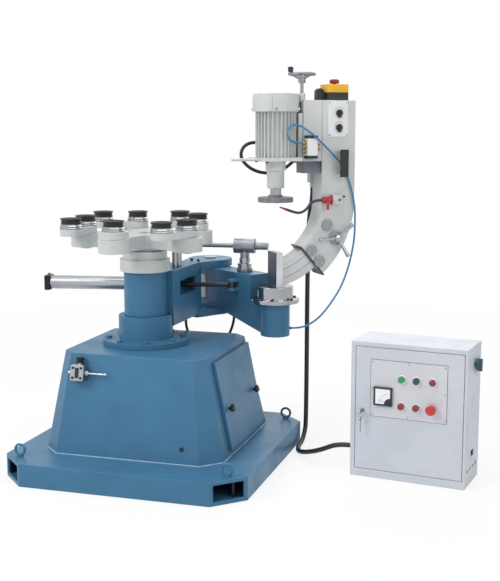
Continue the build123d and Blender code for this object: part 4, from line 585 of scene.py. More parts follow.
portWay = turned(16.9)
portEnd = bossAxis + portWay * 0.069 + up * 0.5346
cords = {
    # node: (points, radius in mm, length in m, stiffness, finish)
    "main_cable_upper": (
        headRoute((197, -120.4, 500), (197, -120.4, 965), (197, -72, 1060), (197, -72, 1116)),
        10, 0.625, "stiff", "cableSheath",
    ),
    "main_cable_lower": (
        floorRoute(
            (861.3, 70, 95), (801.9, 78.3, 95), (728, 92, 58), (660, 140, 27), (606, 190, 11), (588, 262, 11),
            (585, 341, 11), (585, 388, 38), (585, 415, 85), (585, 415, 500),
        ),
        10, 0.977, "stiff", "cableSheath",
    ),
    "motor_cable": (
        headRoute(
            (-47, -93, 1305), (-78, -93, 1305), (-107, -96, 1287), (-118, -98, 1257), (-107, -100, 1227),
            (-78, -100, 1200), (-36, -100, 1181), (14, -100, 1176), (63, -98, 1186), (97, -88, 1210),
            (122, -78, 1238), (134, -70, 1268), (134, -70, 1300),
        ),
        7, 0.456, "medium", "cableSheath",
    ),
    "air_hose_upper": (
        headRoute(
            (91, 64, 1305.5), (66, 64, 1305.5), (40, 88, 1309), (16, 100, 1322), (8, 104, 1344.6),
            (16, 102, 1367), (38, 97, 1379), (66, 94, 1375), (94, 92, 1360), (123, 91, 1341), (156, 89, 1314),
            (194, 80, 1283), (228, 68, 1255), (262, 62.5, 1224), (290, 61, 1180), (312, 60, 1125),
            (326, 60, 1070), (334, 60, 1024), (334, 60, 975),
        ),
        4, 0.701, "medium", "blueHose",
    ),
    "air_hose_lower": (
        [portEnd, portEnd + portWay * 0.038]
        + headRoute(
            (146, 44, 552), (190, 46, 583), (232, 50, 634), (274, 54, 697), (302, 56, 765), (322, 58, 840),
            (334, 60, 915), (334, 60, 975),
        ),
        4, 0.569, "medium", "blueHose",
    ),
    "arm_cable": (
        floorRoute(
            (50, 340, 530), (50, 340, 492), (60, 358, 452), (84, 385, 415), (130, 410, 395), (185, 428, 405),
            (222, 430, 445), (243, 420, 492), (253.7, 411.6, 535), (253.7, 411.6, 575),
        ),
        6, 0.435, "medium", "cableSheath",
    ),
}
bends = {
    # node: (body before the joint, body beyond it, where the bend starts, where it ends)
    "main_cable_upper": ("swivel", "tilting_head", headPoint(197, -120, 620), headPoint(197, -72, 1100)),
    "air_hose_upper": ("swivel", "tilting_head", headPoint(334, 60, 975), headPoint(312, 60, 1125)),
    "air_hose_lower": ("second_arm", "swivel", portEnd, headPoint(302, 56, 765)),
    "motor_cable": ("motor", "tilting_head", headPoint(-40, -95, 1240), headPoint(125, -80, 1240)),
    "arm_cable": ("first_arm", "second_arm", Vector((0.06, 0.345, 0.45)), Vector((0.245, 0.41, 0.45))),
}


def routeLine(curve):
    # the route itself, read from the curve's spline with no bevel
    curve.bevel_depth = 0
    holder = bpy.data.objects.new("route", curve)
    line = [vertex.co.copy() for vertex in bpy.data.meshes.new_from_object(holder).vertices]
    bpy.data.objects.remove(holder)
    return line


for node, (points, radius, length, stiffness, finish) in cords.items():
    cord = runCord(node + "_cord", points, radius, finish)
    if node in bends:
        routeLine(cord.data.copy())
        pickOnly(cord)
        bpy.ops.object.convert(target="MESH")
        cord = bpy.context.view_layer.objects.active
        bpy.ops.object.shade_smooth()
    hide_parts(node)
    if node in bends:
        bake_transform(cord)
    else:
        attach(cord, bodyOf[node])
print("cords laid")


# ---- solids of the frame, with their corners rounded and their finishes
def whole(low, high):
    return "part"


def byHeight(*steps):
    # the first name whose limit is above the solid's middle height, in millimetres
    return lambda low, high: next(name for name, limit in steps if (low.z + high.z) / 2 < limit)


softened = {
    # node: (finish, rounding in mm)
    "plinth_frame": ("blueEnamel", 2.5),
    "base_housing": ("blueEnamel", 3.0),
    "access_cover": ("blueEnamel", 2.5),
    "lifting_eyes": ("blueEnamel", 0),
    "arm_link": ("blueEnamel", 2.0),
    "elbow_link": ("blueEnamel", 2.0),
    "arm_pins": ("chrome", 1.0),
    "rod_clamp": ("bracketSteel", 1.5),
    "guide_rod": ("bracketSteel", 1.5),
    "swivel_post": ("chrome", 2.0),
    "arc_rail": ("railSteel", 1.5),
    "arc_casing": ("greyEnamel", 2.0),
    "roller_caps": ("capGrey", 1.2),
    "slide_box": ("greyEnamel", 1.5),
    "handwheel": ("bracketSteel", 0),
    "motor_slide": ("motorEnamel", 1.5),
    "motor_body": ("motorEnamel", 1.0),
    "spindle_housing": ("motorEnamel", 1.5),
    "spindle_shaft": ("chrome", 0.8),
    "grinding_wheel": ("abrasive", 1.0),
    "selector_upper": ("blackPlastic", 0.8),
    "selector_lower": ("blackPlastic", 0.8),
    "tap_lever": ("redPaint", 0.8),
    "valve_lever": ("brightAluminium", 0),
    "hand_valve": ("brightAluminium", 1.2),
    "table_gearmotor": ("darkSteel", 1.5),
    "table_shaft": ("turnedSteel", 1.0),
    "piston_rod": ("darkSteel", 0.8),
    "estop_button": ("darkRedButton", 0),
    "key_lock": ("chrome", 0.3),
    "isolator_knob": ("tealPlastic", 1.5),
    "button_upper_left": ("greenButton", 1.2),
    "button_upper_right": ("darkGreenButton", 1.2),
    "button_lower_left": ("darkRedButton", 1.2),
    "button_lower_right": ("darkRedButton", 1.2),
    "control_gear": ("greyEnamel", 1.0),
}
dressed = {}
for node, (finish, rounding) in softened.items():
    piece = softenedSolids(node, whole, {"part": rounding})["part"]
    piece.name = node + "_part"
    dressed[node] = finished(piece, finish, bodyOf[node], node)
print("plain nodes finished")


def cylinderParts(low, high):
    return "block" if ((low + high) / 2000 - trunnion).length < 0.06 else "barrel"


def controlParts(low, high):
    middle = (low + high) / 2 / 1000 - bossAxis
    return "plate" if middle.z < 1.45 else "box" if middle.dot(headAcross) > 0.215 else "gland"


def cabinetParts(low, high):
    return "plate" if max(high.x - low.x, high.y - low.y) < 120 else "shell"


mixed = {
    # node: (choose, {name: (finish, rounding)})
    "base_bolts": (
        byHeight(("feet", 200), ("heads", 2000)), {"feet": ("darkSteel", 0.8), "heads": ("blueEnamel", 1)},
    ),
    "column_base": (
        byHeight(("lower", 700), ("rings", 2000)), {"lower": ("blueEnamel", 2), "rings": ("starEnamel", 2)},
    ),
    "table_star": (byHeight(("star", 975), ("cup", 2000)), {"star": ("starEnamel", 2.5)}),
    "air_cylinder": (cylinderParts, {"block": ("darkSteel", 1.5), "barrel": ("brightAluminium", 1)}),
    "head_controls": (
        controlParts,
        {"plate": ("whiteSheet", 0.6), "box": ("blackPlastic", 1.5), "gland": ("blackRubber", 1.5)},
    ),
    "water_tap": (byHeight(("pipe", 1055), ("tap", 2000)), {"tap": ("greyEnamel", 1)}),
    "cabinet_shell": (cabinetParts, {"plate": ("tealPlastic", 1.5)}),
}
for number in (1, 2, 3, 4):
    mixed[f"pad_bar_{number}"] = (byHeight(("bar", 968), ("cup", 2000)), {"bar": ("starEnamel", 2.5)})
for node, (choose, parts) in mixed.items():
    rounding = {name: values[1] for name, values in parts.items()}
    for name, piece in softenedSolids(node, choose, rounding).items():
        if name not in parts:
            bpy.data.objects.remove(piece)  # a detailed piece further down takes its place
            continue
        piece.name = node + "_" + name
        dressed[piece.name] = finished(piece, parts[name][0], bodyOf[node], node)
print("nodes of several solids finished")

# pieces with two finishes or more: the post's plate and its ribbed face, the top of the column's tube,
# the slide's foot, the lid of the stop button's box and the half of the tap nearest the wheel
splitFinish(dressed["swivel_post"], headPoint(0, 0, 714.5), up, "plateSteel")
splitFinish(dressed["column_base_lower"], (0, 0, 0.78525), up, "motorEnamel")
addFinish(dressed["swivel_post"], "ribbedSteel", lambda f: f.normal.dot(headOut) > 0.8 and f.center.z > 0.715)
splitFinish(dressed["slide_box"], headPoint(0, 0, 1229), -up, "plateSteel")
splitFinish(dressed["head_controls_box"], headPoint(0, 0, 1509), up, "yellowPlastic")
splitFinish(dressed["water_tap_tap"], headPoint(226, 0, 0), -headAcross, "redPaint")


# ---- suction cups
cup = {
    "circle": 245, "firstTurn": -97, "barLength": 148, "barTurns": (249.3, 140.6, 200.2, 272.2),
    "seatBottom": 968, "padBottom": 988,
    "seat": (
        (44, 0), (45, 0.8), (45, 5), (43.6, 6.5), (43.6, 8), (44.6, 9.5), (44.6, 13), (42, 15.5), (42, 19.6),
        (30, 20),
    ),
    "pad": (
        (36, 0), (39, 0.6), (40, 2.2), (40, 4.2), (37, 5.4), (37, 6.6), (40, 7.8), (40, 9.8), (36.6, 11),
        (36.6, 12.4), (39, 14), (41.5, 17), (42.8, 20.4), (42.4, 21.8), (40, 22.4), (36, 21), (34, 18.8),
        (33, 18.2), (24, 18.6), (23, 17.8), (10, 17.6), (9, 16.2), (4, 16),
    ),
}
pivots = [turned(cup["firstTurn"] + 72 * index) * cup["circle"] / 1000 for index in range(5)]
tips = [pivot + turned(turn) * cup["barLength"] / 1000 for pivot, turn in zip(pivots[1:], cup["barTurns"])]
cupSets = [("turntable", "table_star", [pivots[0]])]
cupSets += [(f"bar_{n + 1}", f"pad_bar_{n + 1}", [pivots[n + 1], tips[n]]) for n in range(4)]
for body, node, spots in cupSets:
    for kind, height, finish, slot in (
        ("seat", cup["seatBottom"], "chrome", "bare_steel"),
        ("pad", cup["padBottom"], "blackRubber", "black_rubber"),
    ):
        places = [Matrix.Translation(spot + up * height / 1000) for spot in spots]
        piece = repeated(f"{node}_{kind}s", turnedPiece("cup", atOrigin, cup[kind], 56), places)
        finished(piece, finish, body, node, smooth=40)
print("suction cups made")


# ---- screws, bolts and nuts, modelled once and copied
screwShapes = {
    # kind: (sides, steps as shares of the radius and the height)
    "hex": (6, ((1, 0), (1, 0.82), (0.86, 1))),
    "socket": (20, ((1, 0), (1, 0.85), (0.9, 1), (0.55, 1), (0.5, 0.45))),
    "dome": (20, ((1, 0), (1, 0.35), (0.72, 0.85), (0.25, 1))),
}


def screws(name, kind, radius, height, places, finish, body):
    sides, shares = screwShapes[kind]
    steps = [(radius * across, height * along) for across, along in shares]
    piece = repeated(name, turnedPiece("screw", atOrigin, steps, sides), places)
    finished(piece, finish, body, smooth=32)


def onArc(radius, angle):
    # across and height of a point on the tilting arc, with angles from straight down
    turn = math.radians(angle)
    return arcCentre[0] + radius * math.sin(turn), arcCentre[1] - radius * math.cos(turn)


def motorWay(turn):
    return turned(37 - turn)


arcCentre = (-72, 1071)
rollerSpots = [onArc(301, 69.4), onArc(298, 45.5), onArc(357, 44.2)]
places = [
    headFront(u + 14 * math.cos(math.radians(turn)), 58, z + 14 * math.sin(math.radians(turn)))
    for u, z in rollerSpots for turn in (80, 200, 320)
]
screws("rollerScrews", "socket", 3.6, 3.0, places, "groundSteel", "tilting_head")
places = [headFront(u, 53, z) for u in (216, 293) for z in (1336, 1467)]
screws("selectorScrews", "dome", 2.6, 1.6, places, "blackOxide", "tilting_head")
places = [headFront(u, 72, 1070) for u in (238, 257)]
screws("bracketScrews", "socket", 4.2, 3.5, places, "blackOxide", "tilting_head")
screws("casingScrew", "socket", 4.2, 4, [headFront(286, 50, 1082)], "blackOxide", "tilting_head")
places = [placed(headPoint(0, 0, 1246) + motorWay(turn) * 0.074, headAcross, up) for turn in (135, 225)]
screws("motorFlangeBolts", "hex", 8, 7, places, "groundSteel", "motor")
places = [placed(headPoint(u, n, 1231), headAcross, -up) for u in (-62, 62) for n in (-62, 62)]
screws("motorBaseScrews", "socket", 6, 6, places, "blackOxide", "motor")
turns = (20, 110, 200, 290)
places = [placed(headPoint(0, 0, 1440) + motorWay(turn) * 0.094, up, motorWay(turn)) for turn in turns]
screws("cowlScrews", "hex", 6, 5, places, "groundSteel", "motor")
spots = [(x, z) for x in (90, 233.5, 377) for z in (260, 469)] + [(90, 364.5), (377, 364.5)]
places = [cabinetFront(x, z, 2) for x, z in spots]
screws("doorPanelScrews", "dome", 3.4, 2.2, places, "groundSteel", "door")
places = [cabinetSide(118 + across, 468 + rise, 6) for across in (-22, 22) for rise in (-26, 26)]
screws("isolatorScrews", "socket", 3, 2.4, places, "blackOxide", "machine_base")
spots = [elbowAxis + (armAlong * along + armSide * side) / 1000 for along, side in ((-120, 20), (-128, -20))]
places = [placed(spot + up * 0.7847, armAlong, up) for spot in spots]
screws("earBolts", "socket", 7, 8, places, "blackOxide", "first_arm")
clampFoot = jointFoot("clamp_swivel")
turns = (10, 100, 190, 280)
places = [placed(clampFoot + turned(turn) * 0.026 + up * 0.7638, linkAlong, up) for turn in turns]
screws("clampFootBolts", "socket", 4, 4, places, "blackOxide", "clamp")
turns = range(37, 397, 60)
places = [placed(bossAxis + turned(turn) * 0.087 + up * 0.6623, headAcross, up) for turn in turns]
screws("swivelBolts", "socket", 6, 5, places, "blackOxide", "swivel")
print("screws made")

# ---- motor cowl, handwheel knob and grip
cowl = [(86, 0), (86, 1.2), (84, 2.2), (78, 2.2)]
for radius in (76, 58, 40):
    cowl += [(radius, 0.6), (radius - 6, 0.6), (radius - 8, 2.2), (radius - 16, 2.2)]
cowl[-1] = (16, 2.6)
piece = turnedPiece("cowlGrille", headTop(0, 0, 1501), cowl + [(12, 2.0)], 60)
finished(piece, "motorEnamel", "motor", smooth=25)

knob = ((6.5, 5), (9.8, 7.5), (10.6, 12), (11.4, 20), (11, 26), (8, 28.5), (3, 29.2))
piece = turnedPiece("wheelKnob", headTop(64, 0, 1582), knob, 28)
finished(piece, "blackPlastic", "feed_screw")

grip = {"u": 266, "n": 94, "low": 1165, "length": 112, "radius": 18.4, "groove": 1.4, "ridge": 7}
radius, inner = grip["radius"], grip["radius"] - grip["groove"]
steps = [(15, 0), (radius, 1)]
height = 3
while height < grip["length"] - 8:
    steps += [(radius, height), (radius, height + 4.4), (inner, height + 5), (inner, height + 6.4)]
    height += grip["ridge"]
steps += [(radius, height), (radius + 0.8, height + 3), (14, grip["length"])]
piece = turnedPiece("gripSleeve", headTop(grip["u"], grip["n"], grip["low"]), steps, 36)
finished(piece, "blackRubber", "tilting_head", "handle_grip", smooth=40)
arms = [
    blockPiece("gripArm", headFront(grip["u"], 50, grip["low"] + rise), (25, 10, 56), 2.5)
    for rise in (5, grip["length"] - 5)
]
finished(joined("gripArms", arms), "greyEnamel", "tilting_head", "handle_grip", smooth=32)

# ---- solenoid valve with its fittings
solenoid = {
    "u": 130, "z": 1288, "body": (44, 70, 36), "end": (46, 11.8, 36), "endRise": 41,
    "fitting": ((6.6, 0), (6.6, 4), (5, 4.4), (5, 6), (5.8, 6.4), (5.8, 12), (4.6, 13), (4.4, 16)),
}
piece = blockPiece("solenoidBody", headFront(solenoid["u"], 46, solenoid["z"]), solenoid["body"], 1.6)
finished(piece, "whiteSheet", "tilting_head", "solenoid_valve")
places = [headFront(solenoid["u"], 46, solenoid["z"] + side * solenoid["endRise"]) for side in (-1, 1)]
ends = [blockPiece("solenoidEnd", place, solenoid["end"], 2) for place in places]
finished(joined("solenoidEnds", ends), "blackPlastic", "tilting_head", "solenoid_valve")
places = [headSide(107, 64, solenoid["z"] + rise) for rise in (17.5, 0, -17.5)]
places += [headSide(153, 64, solenoid["z"] + rise, 1) for rise in (9, -9)]
piece = repeated("solenoidFittings", turnedPiece("fitting", atOrigin, solenoid["fitting"], 18), places)
finished(piece, "brass", "tilting_head", "solenoid_valve", smooth=32)
print("head pieces made")


# ---- control cabinet, cut from solid blocks
def cutOut(piece, *cutters):
    for cutter in cutters:
        shaped(piece, "BOOLEAN", operation="DIFFERENCE", solver="EXACT", object=cutter)
        bpy.data.objects.remove(cutter)
    return piece


def cabinetBlock(name, edges, depth, height):
    # edges are left, right, low and top on the front; depth is how far behind it the block's back lies
    left, right, low, top = edges
    place = cabinetFront((left + right) / 2, (low + top) / 2, -depth)
    return blockPiece(name, place, (right - left, top - low, height), 0)


def sideHole(depth, height, width, rise):
    return blockPiece("hole", cabinetSide(depth, height, -20), (width, rise, 40), 0)


def wider(edges, gap):
    left, right, low, top = edges
    return left - gap, right + gap, low - gap, top + gap


cabinet = {
    # front, door and panel: left, right, low and top
    "front": (0, 461, 0, 544), "deep": 215, "wall": 4, "door": (20, 449, 34, 524), "gap": 2, "doorDepth": 16,
    "sheet": 2.5, "panel": (82, 385, 252, 477), "slots": (42, 86, 130, 174), "slotHeight": 62,
    "slotSize": (20, 13), "inlet": (114, 119, 46, 25),
}
deep, wall, sheet = cabinet["deep"], cabinet["wall"], cabinet["sheet"]
shell = cabinetBlock("cabinetShell", cabinet["front"], deep, deep)
doorway = cabinetBlock("doorway", wider(cabinet["door"], cabinet["gap"]), 40, 80)
cutOut(shell, doorway, cabinetBlock("inside", wider(cabinet["front"], -wall), deep - wall, deep - 20 - wall))
smoothed(roundedOff(shell, 1.6))
cutOut(shell, *[sideHole(depth, cabinet["slotHeight"], *cabinet["slotSize"]) for depth in cabinet["slots"]])
cutOut(shell, sideHole(*cabinet["inlet"]))
finished(shell, "cabinetEnamel", "machine_base", "cabinet_shell", smooth=32)

door = cabinetBlock("cabinetDoor", cabinet["door"], cabinet["doorDepth"], cabinet["doorDepth"])
cutOut(door, cabinetBlock("hollow", wider(cabinet["door"], -sheet), 40, 40 - sheet))
finished(roundedOff(door, 1.4), "cabinetEnamel", "door", "cabinet_door", smooth=32)
left, right, low, top = cabinet["panel"]
panelPlace = cabinetFront((left + right) / 2, (low + top) / 2)
panel = blockPiece("doorPanel", panelPlace, (right - left, top - low, 2), 0.5, 2)
finished(panel, "panelSheet", "door", "cabinet_door")
edge = blockPiece("panelEdge", panelPlace, (right - left + 3, top - low + 3, 0.8), 0.2, 1)
finished(edge, "darkSteel", "door")

ring = {
    "spots": ((207, 408), (266, 408), (207, 302), (266, 302), (329, 408)),
    "steps": ((18.5, 0), (18.5, 2.6), (16.8, 5), (13.9, 5), (13.3, 4.4), (13.3, 0.6)),
}
# the rings' near-white chrome carries a painted glint
places = [cabinetFront(x, z, 2) for x, z in ring["spots"]]
piece = repeated("buttonRings", turnedPiece("buttonRing", atOrigin, ring["steps"]), places)
finished(piece, "ringChromeGlint", "door", "cabinet_door", smooth=32)
lampSteps = ((12.8, 0), (12.8, 7), (12.2, 10), (10, 12), (6, 12.8), (2, 13))
piece = turnedPiece("signalLamp", cabinetFront(329, 408, 2), lampSteps)
finished(piece, "darkRedButton", "door", "cabinet_door")
stopSteps = (
    (15, 0), (15, 8), (16.5, 9), (19, 17), (20, 19), (20, 23), (19.2, 25.2), (17, 26.6), (13, 27), (12, 26.2),
    (7, 26.2), (6, 27), (2, 27),
)
piece = turnedPiece("doorStopHead", cabinetFront(329, 305, 6), stopSteps, 48)
finished(piece, "redButton", "door_estop", "cabinet_estop", smooth=40)
lockSteps = ((10, 0), (10, 2.4), (9.2, 3), (7, 3), (6.4, 2.2))
piece = turnedPiece("lockRing", cabinetFront(49, 270), lockSteps, 32)
finished(piece, "chrome", "door", "cabinet_door", smooth=32)

meter = {
    "place": (134, 335), "frame": (74, 74, 10), "face": 60, "arc": 38, "ticks": (100, 172, 13), "needle": 163,
}
meterX, meterZ = meter["place"]
half = meter["face"] / 2
frameBlock = blockPiece("meterFrame", cabinetFront(meterX, meterZ, 2), meter["frame"], 0)
cutOut(frameBlock, blockPiece("window", cabinetFront(meterX, meterZ, 10.2), (2 * half, 2 * half, 10), 0))
finished(roundedOff(frameBlock, 1.2), "meterFrame", "door", "cabinet_door", smooth=32)
faceSize = (2 * half - 0.4, 2 * half - 0.4, 0.8)
face = blockPiece("meterFace", cabinetFront(meterX, meterZ, 9.8), faceSize, 0.2, 1)
finished(face, "meterFace", "door", "cabinet_door")
pivot = Vector((meterX + half - 3, meterZ - half + 3))
cornerSteps = ((24, 0), (24, 0.6), (23.6, 0.8))
quarter = turnedPiece("meterCorner", cabinetFront(pivot.x + 2.8, pivot.y - 2.8, 10.4), cornerSteps, 64)
cutOut(
    quarter, blockPiece("spare", cabinetFront(pivot.x + 22.8, pivot.y, 8), (40, 80, 8), 0),
    blockPiece("spare", cabinetFront(pivot.x, pivot.y - 22.8, 8), (80, 40, 8), 0),
)
finished(quarter, "meterFrame", "door", "cabinet_door")


def dialMark(angle, reach, ahead, size, rounding):
    # a mark on the meter's face, its middle at the reach from the needle's pivot
    across, rise = math.cos(math.radians(angle)), math.sin(math.radians(angle))
    spot = cabinetPoint(pivot.x + across * reach, -ahead, pivot.y + rise * reach)
    return blockPiece("mark", placed(spot, cabinetAcross * across + up * rise, cabinetOut), size, rounding, 1)


first, last, count = meter["ticks"]
marks = []
for index in range(count):
    length = 5 if index % 3 == 0 else 3
    angle = first + (last - first) * index / (count - 1)
    marks.append(dialMark(angle, meter["arc"] + length / 2, 10.6, (length, 0.9, 0.3), 0.05))
marks.append(dialMark(meter["needle"], 30, 10.8, (30, 0.8, 0.4), 0.1))
finished(joined("meterMarks", marks), "blackOxide", "door", "cabinet_door")
print("cabinet made")


# ---- coolant hose of linked sockets with its nozzle
def splinePoints(points, count):
    # places spread evenly along the route's own spline
    curve = newCurve("route", "NURBS", points)
    curve.resolution_u = 24
    line = routeLine(curve)
    lengths = [0]
    for first, second in zip(line, line[1:]):
        lengths.append(lengths[-1] + (second - first).length)
    spots = []
    for index in range(count):
        wanted = lengths[-1] * index / (count - 1)
        step = max(1, next(i for i, total in enumerate(lengths) if total >= wanted - 1e-9))
        share = (wanted - lengths[step - 1]) / (lengths[step] - lengths[step - 1])
        spots.append((line[step - 1].lerp(line[step], share), (line[step] - line[step - 1]).normalized()))
    return spots


coolant = {
    "points": (
        (180, 65, 1070.5), (136, 65, 1070.5), (115, 60, 1034), (92, 50, 1018), (62, 38, 1022), (16, 22, 1041),
    ),
    "links": 25,
    "link": ((4.2, -4.4), (5.4, -4.2), (5.9, -2.6), (5.9, 0.4), (5.2, 2.2), (4, 4), (3, 4.4)),
    "nozzle": ((5.6, -9), (6, -8), (6, -1), (5.2, 1), (3.6, 16), (2.8, 30), (2.2, 30.4)),
}
spots = splinePoints(headRoute(*coolant["points"]), coolant["links"])
places = [placed(spot, up, way) for spot, way in spots[:-3]]
nozzlePlace = places.pop()
piece = repeated("coolantLinks", turnedPiece("link", atOrigin, coolant["link"], 20), places)
finished(piece, "coolantHose", "tilting_head", "water_tap", smooth=40)
piece = turnedPiece("coolantNozzle", nozzlePlace, coolant["nozzle"], 24)
finished(piece, "redNozzle", "tilting_head", "water_tap")

# ---- three-lobed knobs of the cover
coverKnob = {
    "hub": ((7, 0), (8, 6), (10, 8), (10.6, 20), (8, 22), (2, 22.6)), "turns": (90, 210, 330), "reach": 8.6,
    "lobe": ((3, 7), (6.8, 8), (8.2, 10), (8.2, 20), (6, 21.6), (2, 22)), "voxel": 0.0009,
}
for node in ("cover_knob_front", "cover_knob_rear"):
    axis = Vector(jointOf[node + "_turn"]["axis"])
    place = placed(jointPoint(node + "_turn") + axis * 0.001, (0, 1, 0), axis)
    lobes = [turnedPiece("hub", place, coverKnob["hub"], 32)]
    for turn in coverKnob["turns"]:
        aside = Matrix.Translation(turned(turn) * coverKnob["reach"] / 1000)
        lobes.append(turnedPiece("lobe", place @ aside, coverKnob["lobe"], 28))
    piece = shaped(joined(node + "_grip", lobes), "REMESH", mode="VOXEL", voxel_size=coverKnob["voxel"])
    shaped(piece, "SMOOTH", iterations=6)
    bpy.ops.object.shade_smooth()
    finished(piece, "blackPlastic", bodyOf[node], node)

# ---- weld bead round the housing's foot, paler than the housing's blue: a painted highlight along the bead
weld = {"centre": (60, 5, 92.5), "width": 746, "depth": 742, "chamfer": 73, "radius": 3.4, "step": 7}
halfX, halfY, cut = weld["width"] / 2, weld["depth"] / 2, weld["chamfer"]
corners = [
    (halfX - cut, -halfY), (halfX, cut - halfY), (halfX, halfY - cut), (halfX - cut, halfY),
    (cut - halfX, halfY), (-halfX, halfY - cut), (-halfX, cut - halfY), (cut - halfX, -halfY),
]
bead = []
for first, second in zip(corners, corners[1:] + corners[:1]):
    first, second = Vector((*first, 0)), Vector((*second, 0))
    count = max(2, round((second - first).length / weld["step"]))
    bead += [(first.lerp(second, index / count) + Vector(weld["centre"])) / 1000 for index in range(count)]
curve = newCurve("weldBead", "POLY", bead)
for index, knot in enumerate(curve.splines[0].points):
    knot.radius = 1 if index % 2 else 0.8
curve.splines[0].use_cyclic_u = True
curve.bevel_depth = weld["radius"] / 1000
curve.bevel_resolution = 2
piece = bpy.data.objects.new("weldBead", curve)
bpy.context.collection.objects.link(piece)
pickOnly(piece)
bpy.ops.object.convert(target="MESH")
finished(bpy.context.view_layer.objects.active, "weldBeadHighlight", "machine_base", smooth=60)
print("hose links, knobs and weld made")


# ---- pieces bent round the tilting arc
def arcPiece(name, radii, reach, angles, steps):
    # radii and reach along headOut in millimetres, angles in degrees from straight down
    inner, outer = radii
    near, far = reach
    deselectAll()
    middle = ((inner + outer) / 2000, (near + far) / 2000, 0)
    bpy.ops.mesh.primitive_plane_add(size=0.001, location=middle)
    piece = bpy.context.view_layer.objects.active
    editAll(piece)
    bpy.ops.transform.resize(value=(outer - inner, far - near, 1), center_override=middle)
    sweep = math.radians(angles[0] - angles[1])
    bpy.ops.mesh.spin(steps=steps, angle=sweep, center=(0, 0, 0), axis=(0, 1, 0))
    facesOut()
    start = math.radians(angles[0])
    radial = headAcross * math.sin(start) - up * math.cos(start)
    turn = Matrix((radial, headOut, radial.cross(headOut))).transposed().to_4x4()
    return smoothed(settle(piece, name, Matrix.Translation(headPoint(arcCentre[0], 0, arcCentre[1])) @ turn))


wiper = {
    "angles": (40.2, 40.95),
    "bars": (  # radii, reach
        ((252, 267.5), (-54, 54)), ((366.5, 414), (-54, 54)), ((267.5, 366.5), (39.2, 54)),
        ((267.5, 366.5), (-54, -39.2)),
    ),
}
bars = [arcPiece("wiper", radii, reach, wiper["angles"], 2) for radii, reach in wiper["bars"]]
finished(joined("casingWiper", bars), "darkSteel", "tilting_head", smooth=32)
lines = [arcPiece("line", (radius, radius + 2.2), (37.8, 38.4), (12, 84), 60) for radius in (298, 333)]
finished(joined("railLines", lines), "plateSteel", "swivel", smooth=32)

# ---- lock handle with three tapered spokes
lock = {
    "turns": (182, 42, 300), "lean": 8,
    "hub": ((8, -13), (19, 0), (19, 3), (17.5, 4), (17.5, 20), (15, 24), (9, 26), (2, 26.4)),
    "spoke": ((6.4, 14), (6.4, 42), (8.4, 78), (9.2, 85), (8, 88.4), (2, 89)),
}
lockU, lockZ = onArc(358, 63.5)
handle = [turnedPiece("hub", headFront(lockU, 65, lockZ), lock["hub"], 36)]
lean = math.radians(lock["lean"])
for turn in lock["turns"]:
    level = headAcross * math.cos(math.radians(turn)) + up * math.sin(math.radians(turn))
    way = level * math.cos(lean) + headOut * math.sin(lean)
    handle.append(turnedPiece("spoke", placed(headPoint(lockU, 77, lockZ), headOut, way), lock["spoke"], 20))
handle = joined("lockHandle", handle)
finished(handle, "chrome", bodyOf["lock_handle"], "lock_handle", smooth=32)

# ---- rings of the clamp and the elbow's bush
rings = (
    (33, 0), (33, 5), (29, 6), (29, 13), (31, 14), (31, 22), (26, 24), (23, 25), (23, 46), (21, 48),
    (20.2, 48),
)
piece = turnedPiece("clampRings", placed(clampFoot + up * 0.7642, linkAlong, up), rings, 44)
finished(piece, "groundSteel", "clamp")
sleeve = [(31.2, -45.8), (32.2, -45), (32.2, -38)]
for start in range(0, 40, 5):
    sleeve += [(31.3, start - 37.6), (31.3, start - 36.4), (32.2, start - 36), (32.2, start - 33.2)]
sleeve += [(31.3, 3), (31.3, 38), (32.2, 39), (32.2, 45), (31.2, 45.8)]
piece = turnedPiece("clampSleeve", placed(clampFoot + up * 0.862, up, turned(5)), sleeve, 48)
finished(piece, "bracketSteel", "clamp", smooth=25)
bush = ((42, 0), (44, 1.5), (44, 108), (42, 109.5))
piece = turnedPiece("elbowBush", placed(elbowAxis + up * 0.6075, linkAlong, up), bush)
finished(piece, "bracketSteel", "second_arm")

# ---- housing front: a dark dish painted as the shade inside a hole, hand valve's screws and plunger
wallFoot = {"y": -366, "z": 92, "slope": 0.2193}
frontLean = math.atan(wallFoot["slope"])
frontOut = Vector((0, -math.cos(frontLean), math.sin(frontLean)))


def housingFront(x, z, ahead):
    # the front wall leans back by its slope, from its foot up
    wallY = wallFoot["y"] + (z - wallFoot["z"]) * wallFoot["slope"]
    return placed((Vector((x, wallY, z)) + frontOut * ahead) / 1000, (1, 0, 0), frontOut)
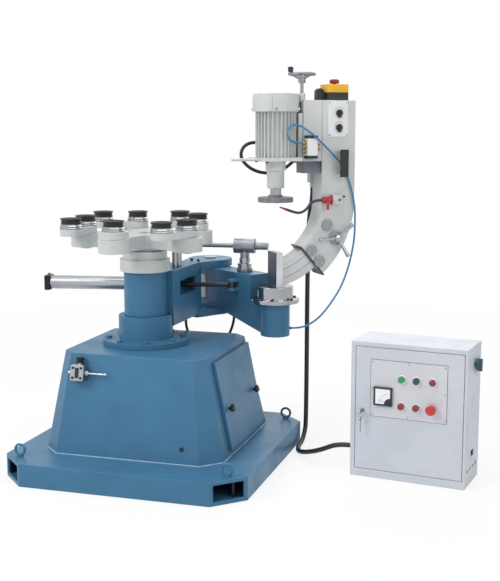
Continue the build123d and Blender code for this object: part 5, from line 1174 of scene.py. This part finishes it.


# a dark dish where the front has a hole: its colour is painted shade
holeShadeSteps = ((9, 0), (9, 1.4), (7.4, 2), (6.6, 1.2), (2, 0.9))
piece = turnedPiece("frontHoleShade", housingFront(285, 150, -0.5), holeShadeSteps, 28)
finished(piece, "holeShade", "machine_base")
valveX, valveZ = -155, 408
places = [housingFront(valveX + across, valveZ + rise, 44) for across in (-17, 17) for rise in (-19, 19)]
screws("valveScrews", "socket", 5, 3, places, "blackOxide", "machine_base")
piece = blockPiece("valveBody", housingFront(valveX, valveZ, 43.6), (15, 40, 3), 1)
finished(piece, "darkSteel", "machine_base")
valveUp = frontOut.cross(Vector((1, 0, 0)))
valveTop = housingFront(valveX, valveZ, 22).translation + valveUp * 0.031
cap = ((10, 8), (15.5, 9), (15.5, 14), (11, 15), (11, 20), (15, 22), (16, 28), (15, 31), (8, 32))
piece = turnedPiece("valvePlunger", placed(valveTop, (1, 0, 0), valveUp), cap, 32)
finished(piece, "blackOxide", "machine_base", smooth=32)

# ---- motor: lugs of the cowl and rings of the nose
turns = (245, 305, 65, 125, 185, 5)
places = [placed(headPoint(0, 0, 1463) + motorWay(turn) * 0.0925, up, motorWay(turn)) for turn in turns]
piece = repeated("cowlLugs", blockPiece("lug", atOrigin, (56, 15, 4.5), 1.5), places)
finished(piece, "motorEnamel", "motor")
nose = [(35, -0.2)]
for start in range(0, 64, 8):
    nose += [(36.2, start + 1), (36.2, start + 5), (35.2, start + 6), (35.2, start + 8)]
piece = turnedPiece("noseRings", headTop(0, 0, 1122), nose + [(36.2, 66), (35, 67)], 44)
finished(piece, "motorEnamel", "motor", smooth=25)

# ---- marks round the selectors
places = []
for height in (1425, 1366):
    for turn in (40, 65, 90, 115, 140):
        way = headAcross * math.cos(math.radians(turn)) + up * math.sin(math.radians(turn))
        places.append(placed(headPoint(258, 53, height) + way * 0.0235, way, headOut))
piece = repeated("selectorMarks", blockPiece("mark", atOrigin, (5, 1.6, 0.3), 0.05, 1), places)
finished(piece, "blackOxide", "tilting_head")

# ---- end cap of the air cylinder and its port
cylinderWay = (trunnion - jointPoint("rod_swing")).normalized()
capPlace = placed(trunnion + cylinderWay * 0.5146, up, cylinderWay)
piece = blockPiece("cylinderCap", capPlace, (64, 64, 26.5), 4)
finished(piece, "blackOxide", "cylinder")
port = ((6.5, 0), (6.5, 5), (5, 5.5), (5, 9), (3, 9.4))
portPlace = placed(capPlace.translation + cylinderWay * 0.012 + up * 0.031, cylinderWay, up)
finished(turnedPiece("cylinderPort", portPlace, port, 20), "brass", "cylinder")
print("small pieces made")

size = {"cad": [list(corner) for corner in cadBox], "visual": [list(corner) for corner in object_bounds()]}
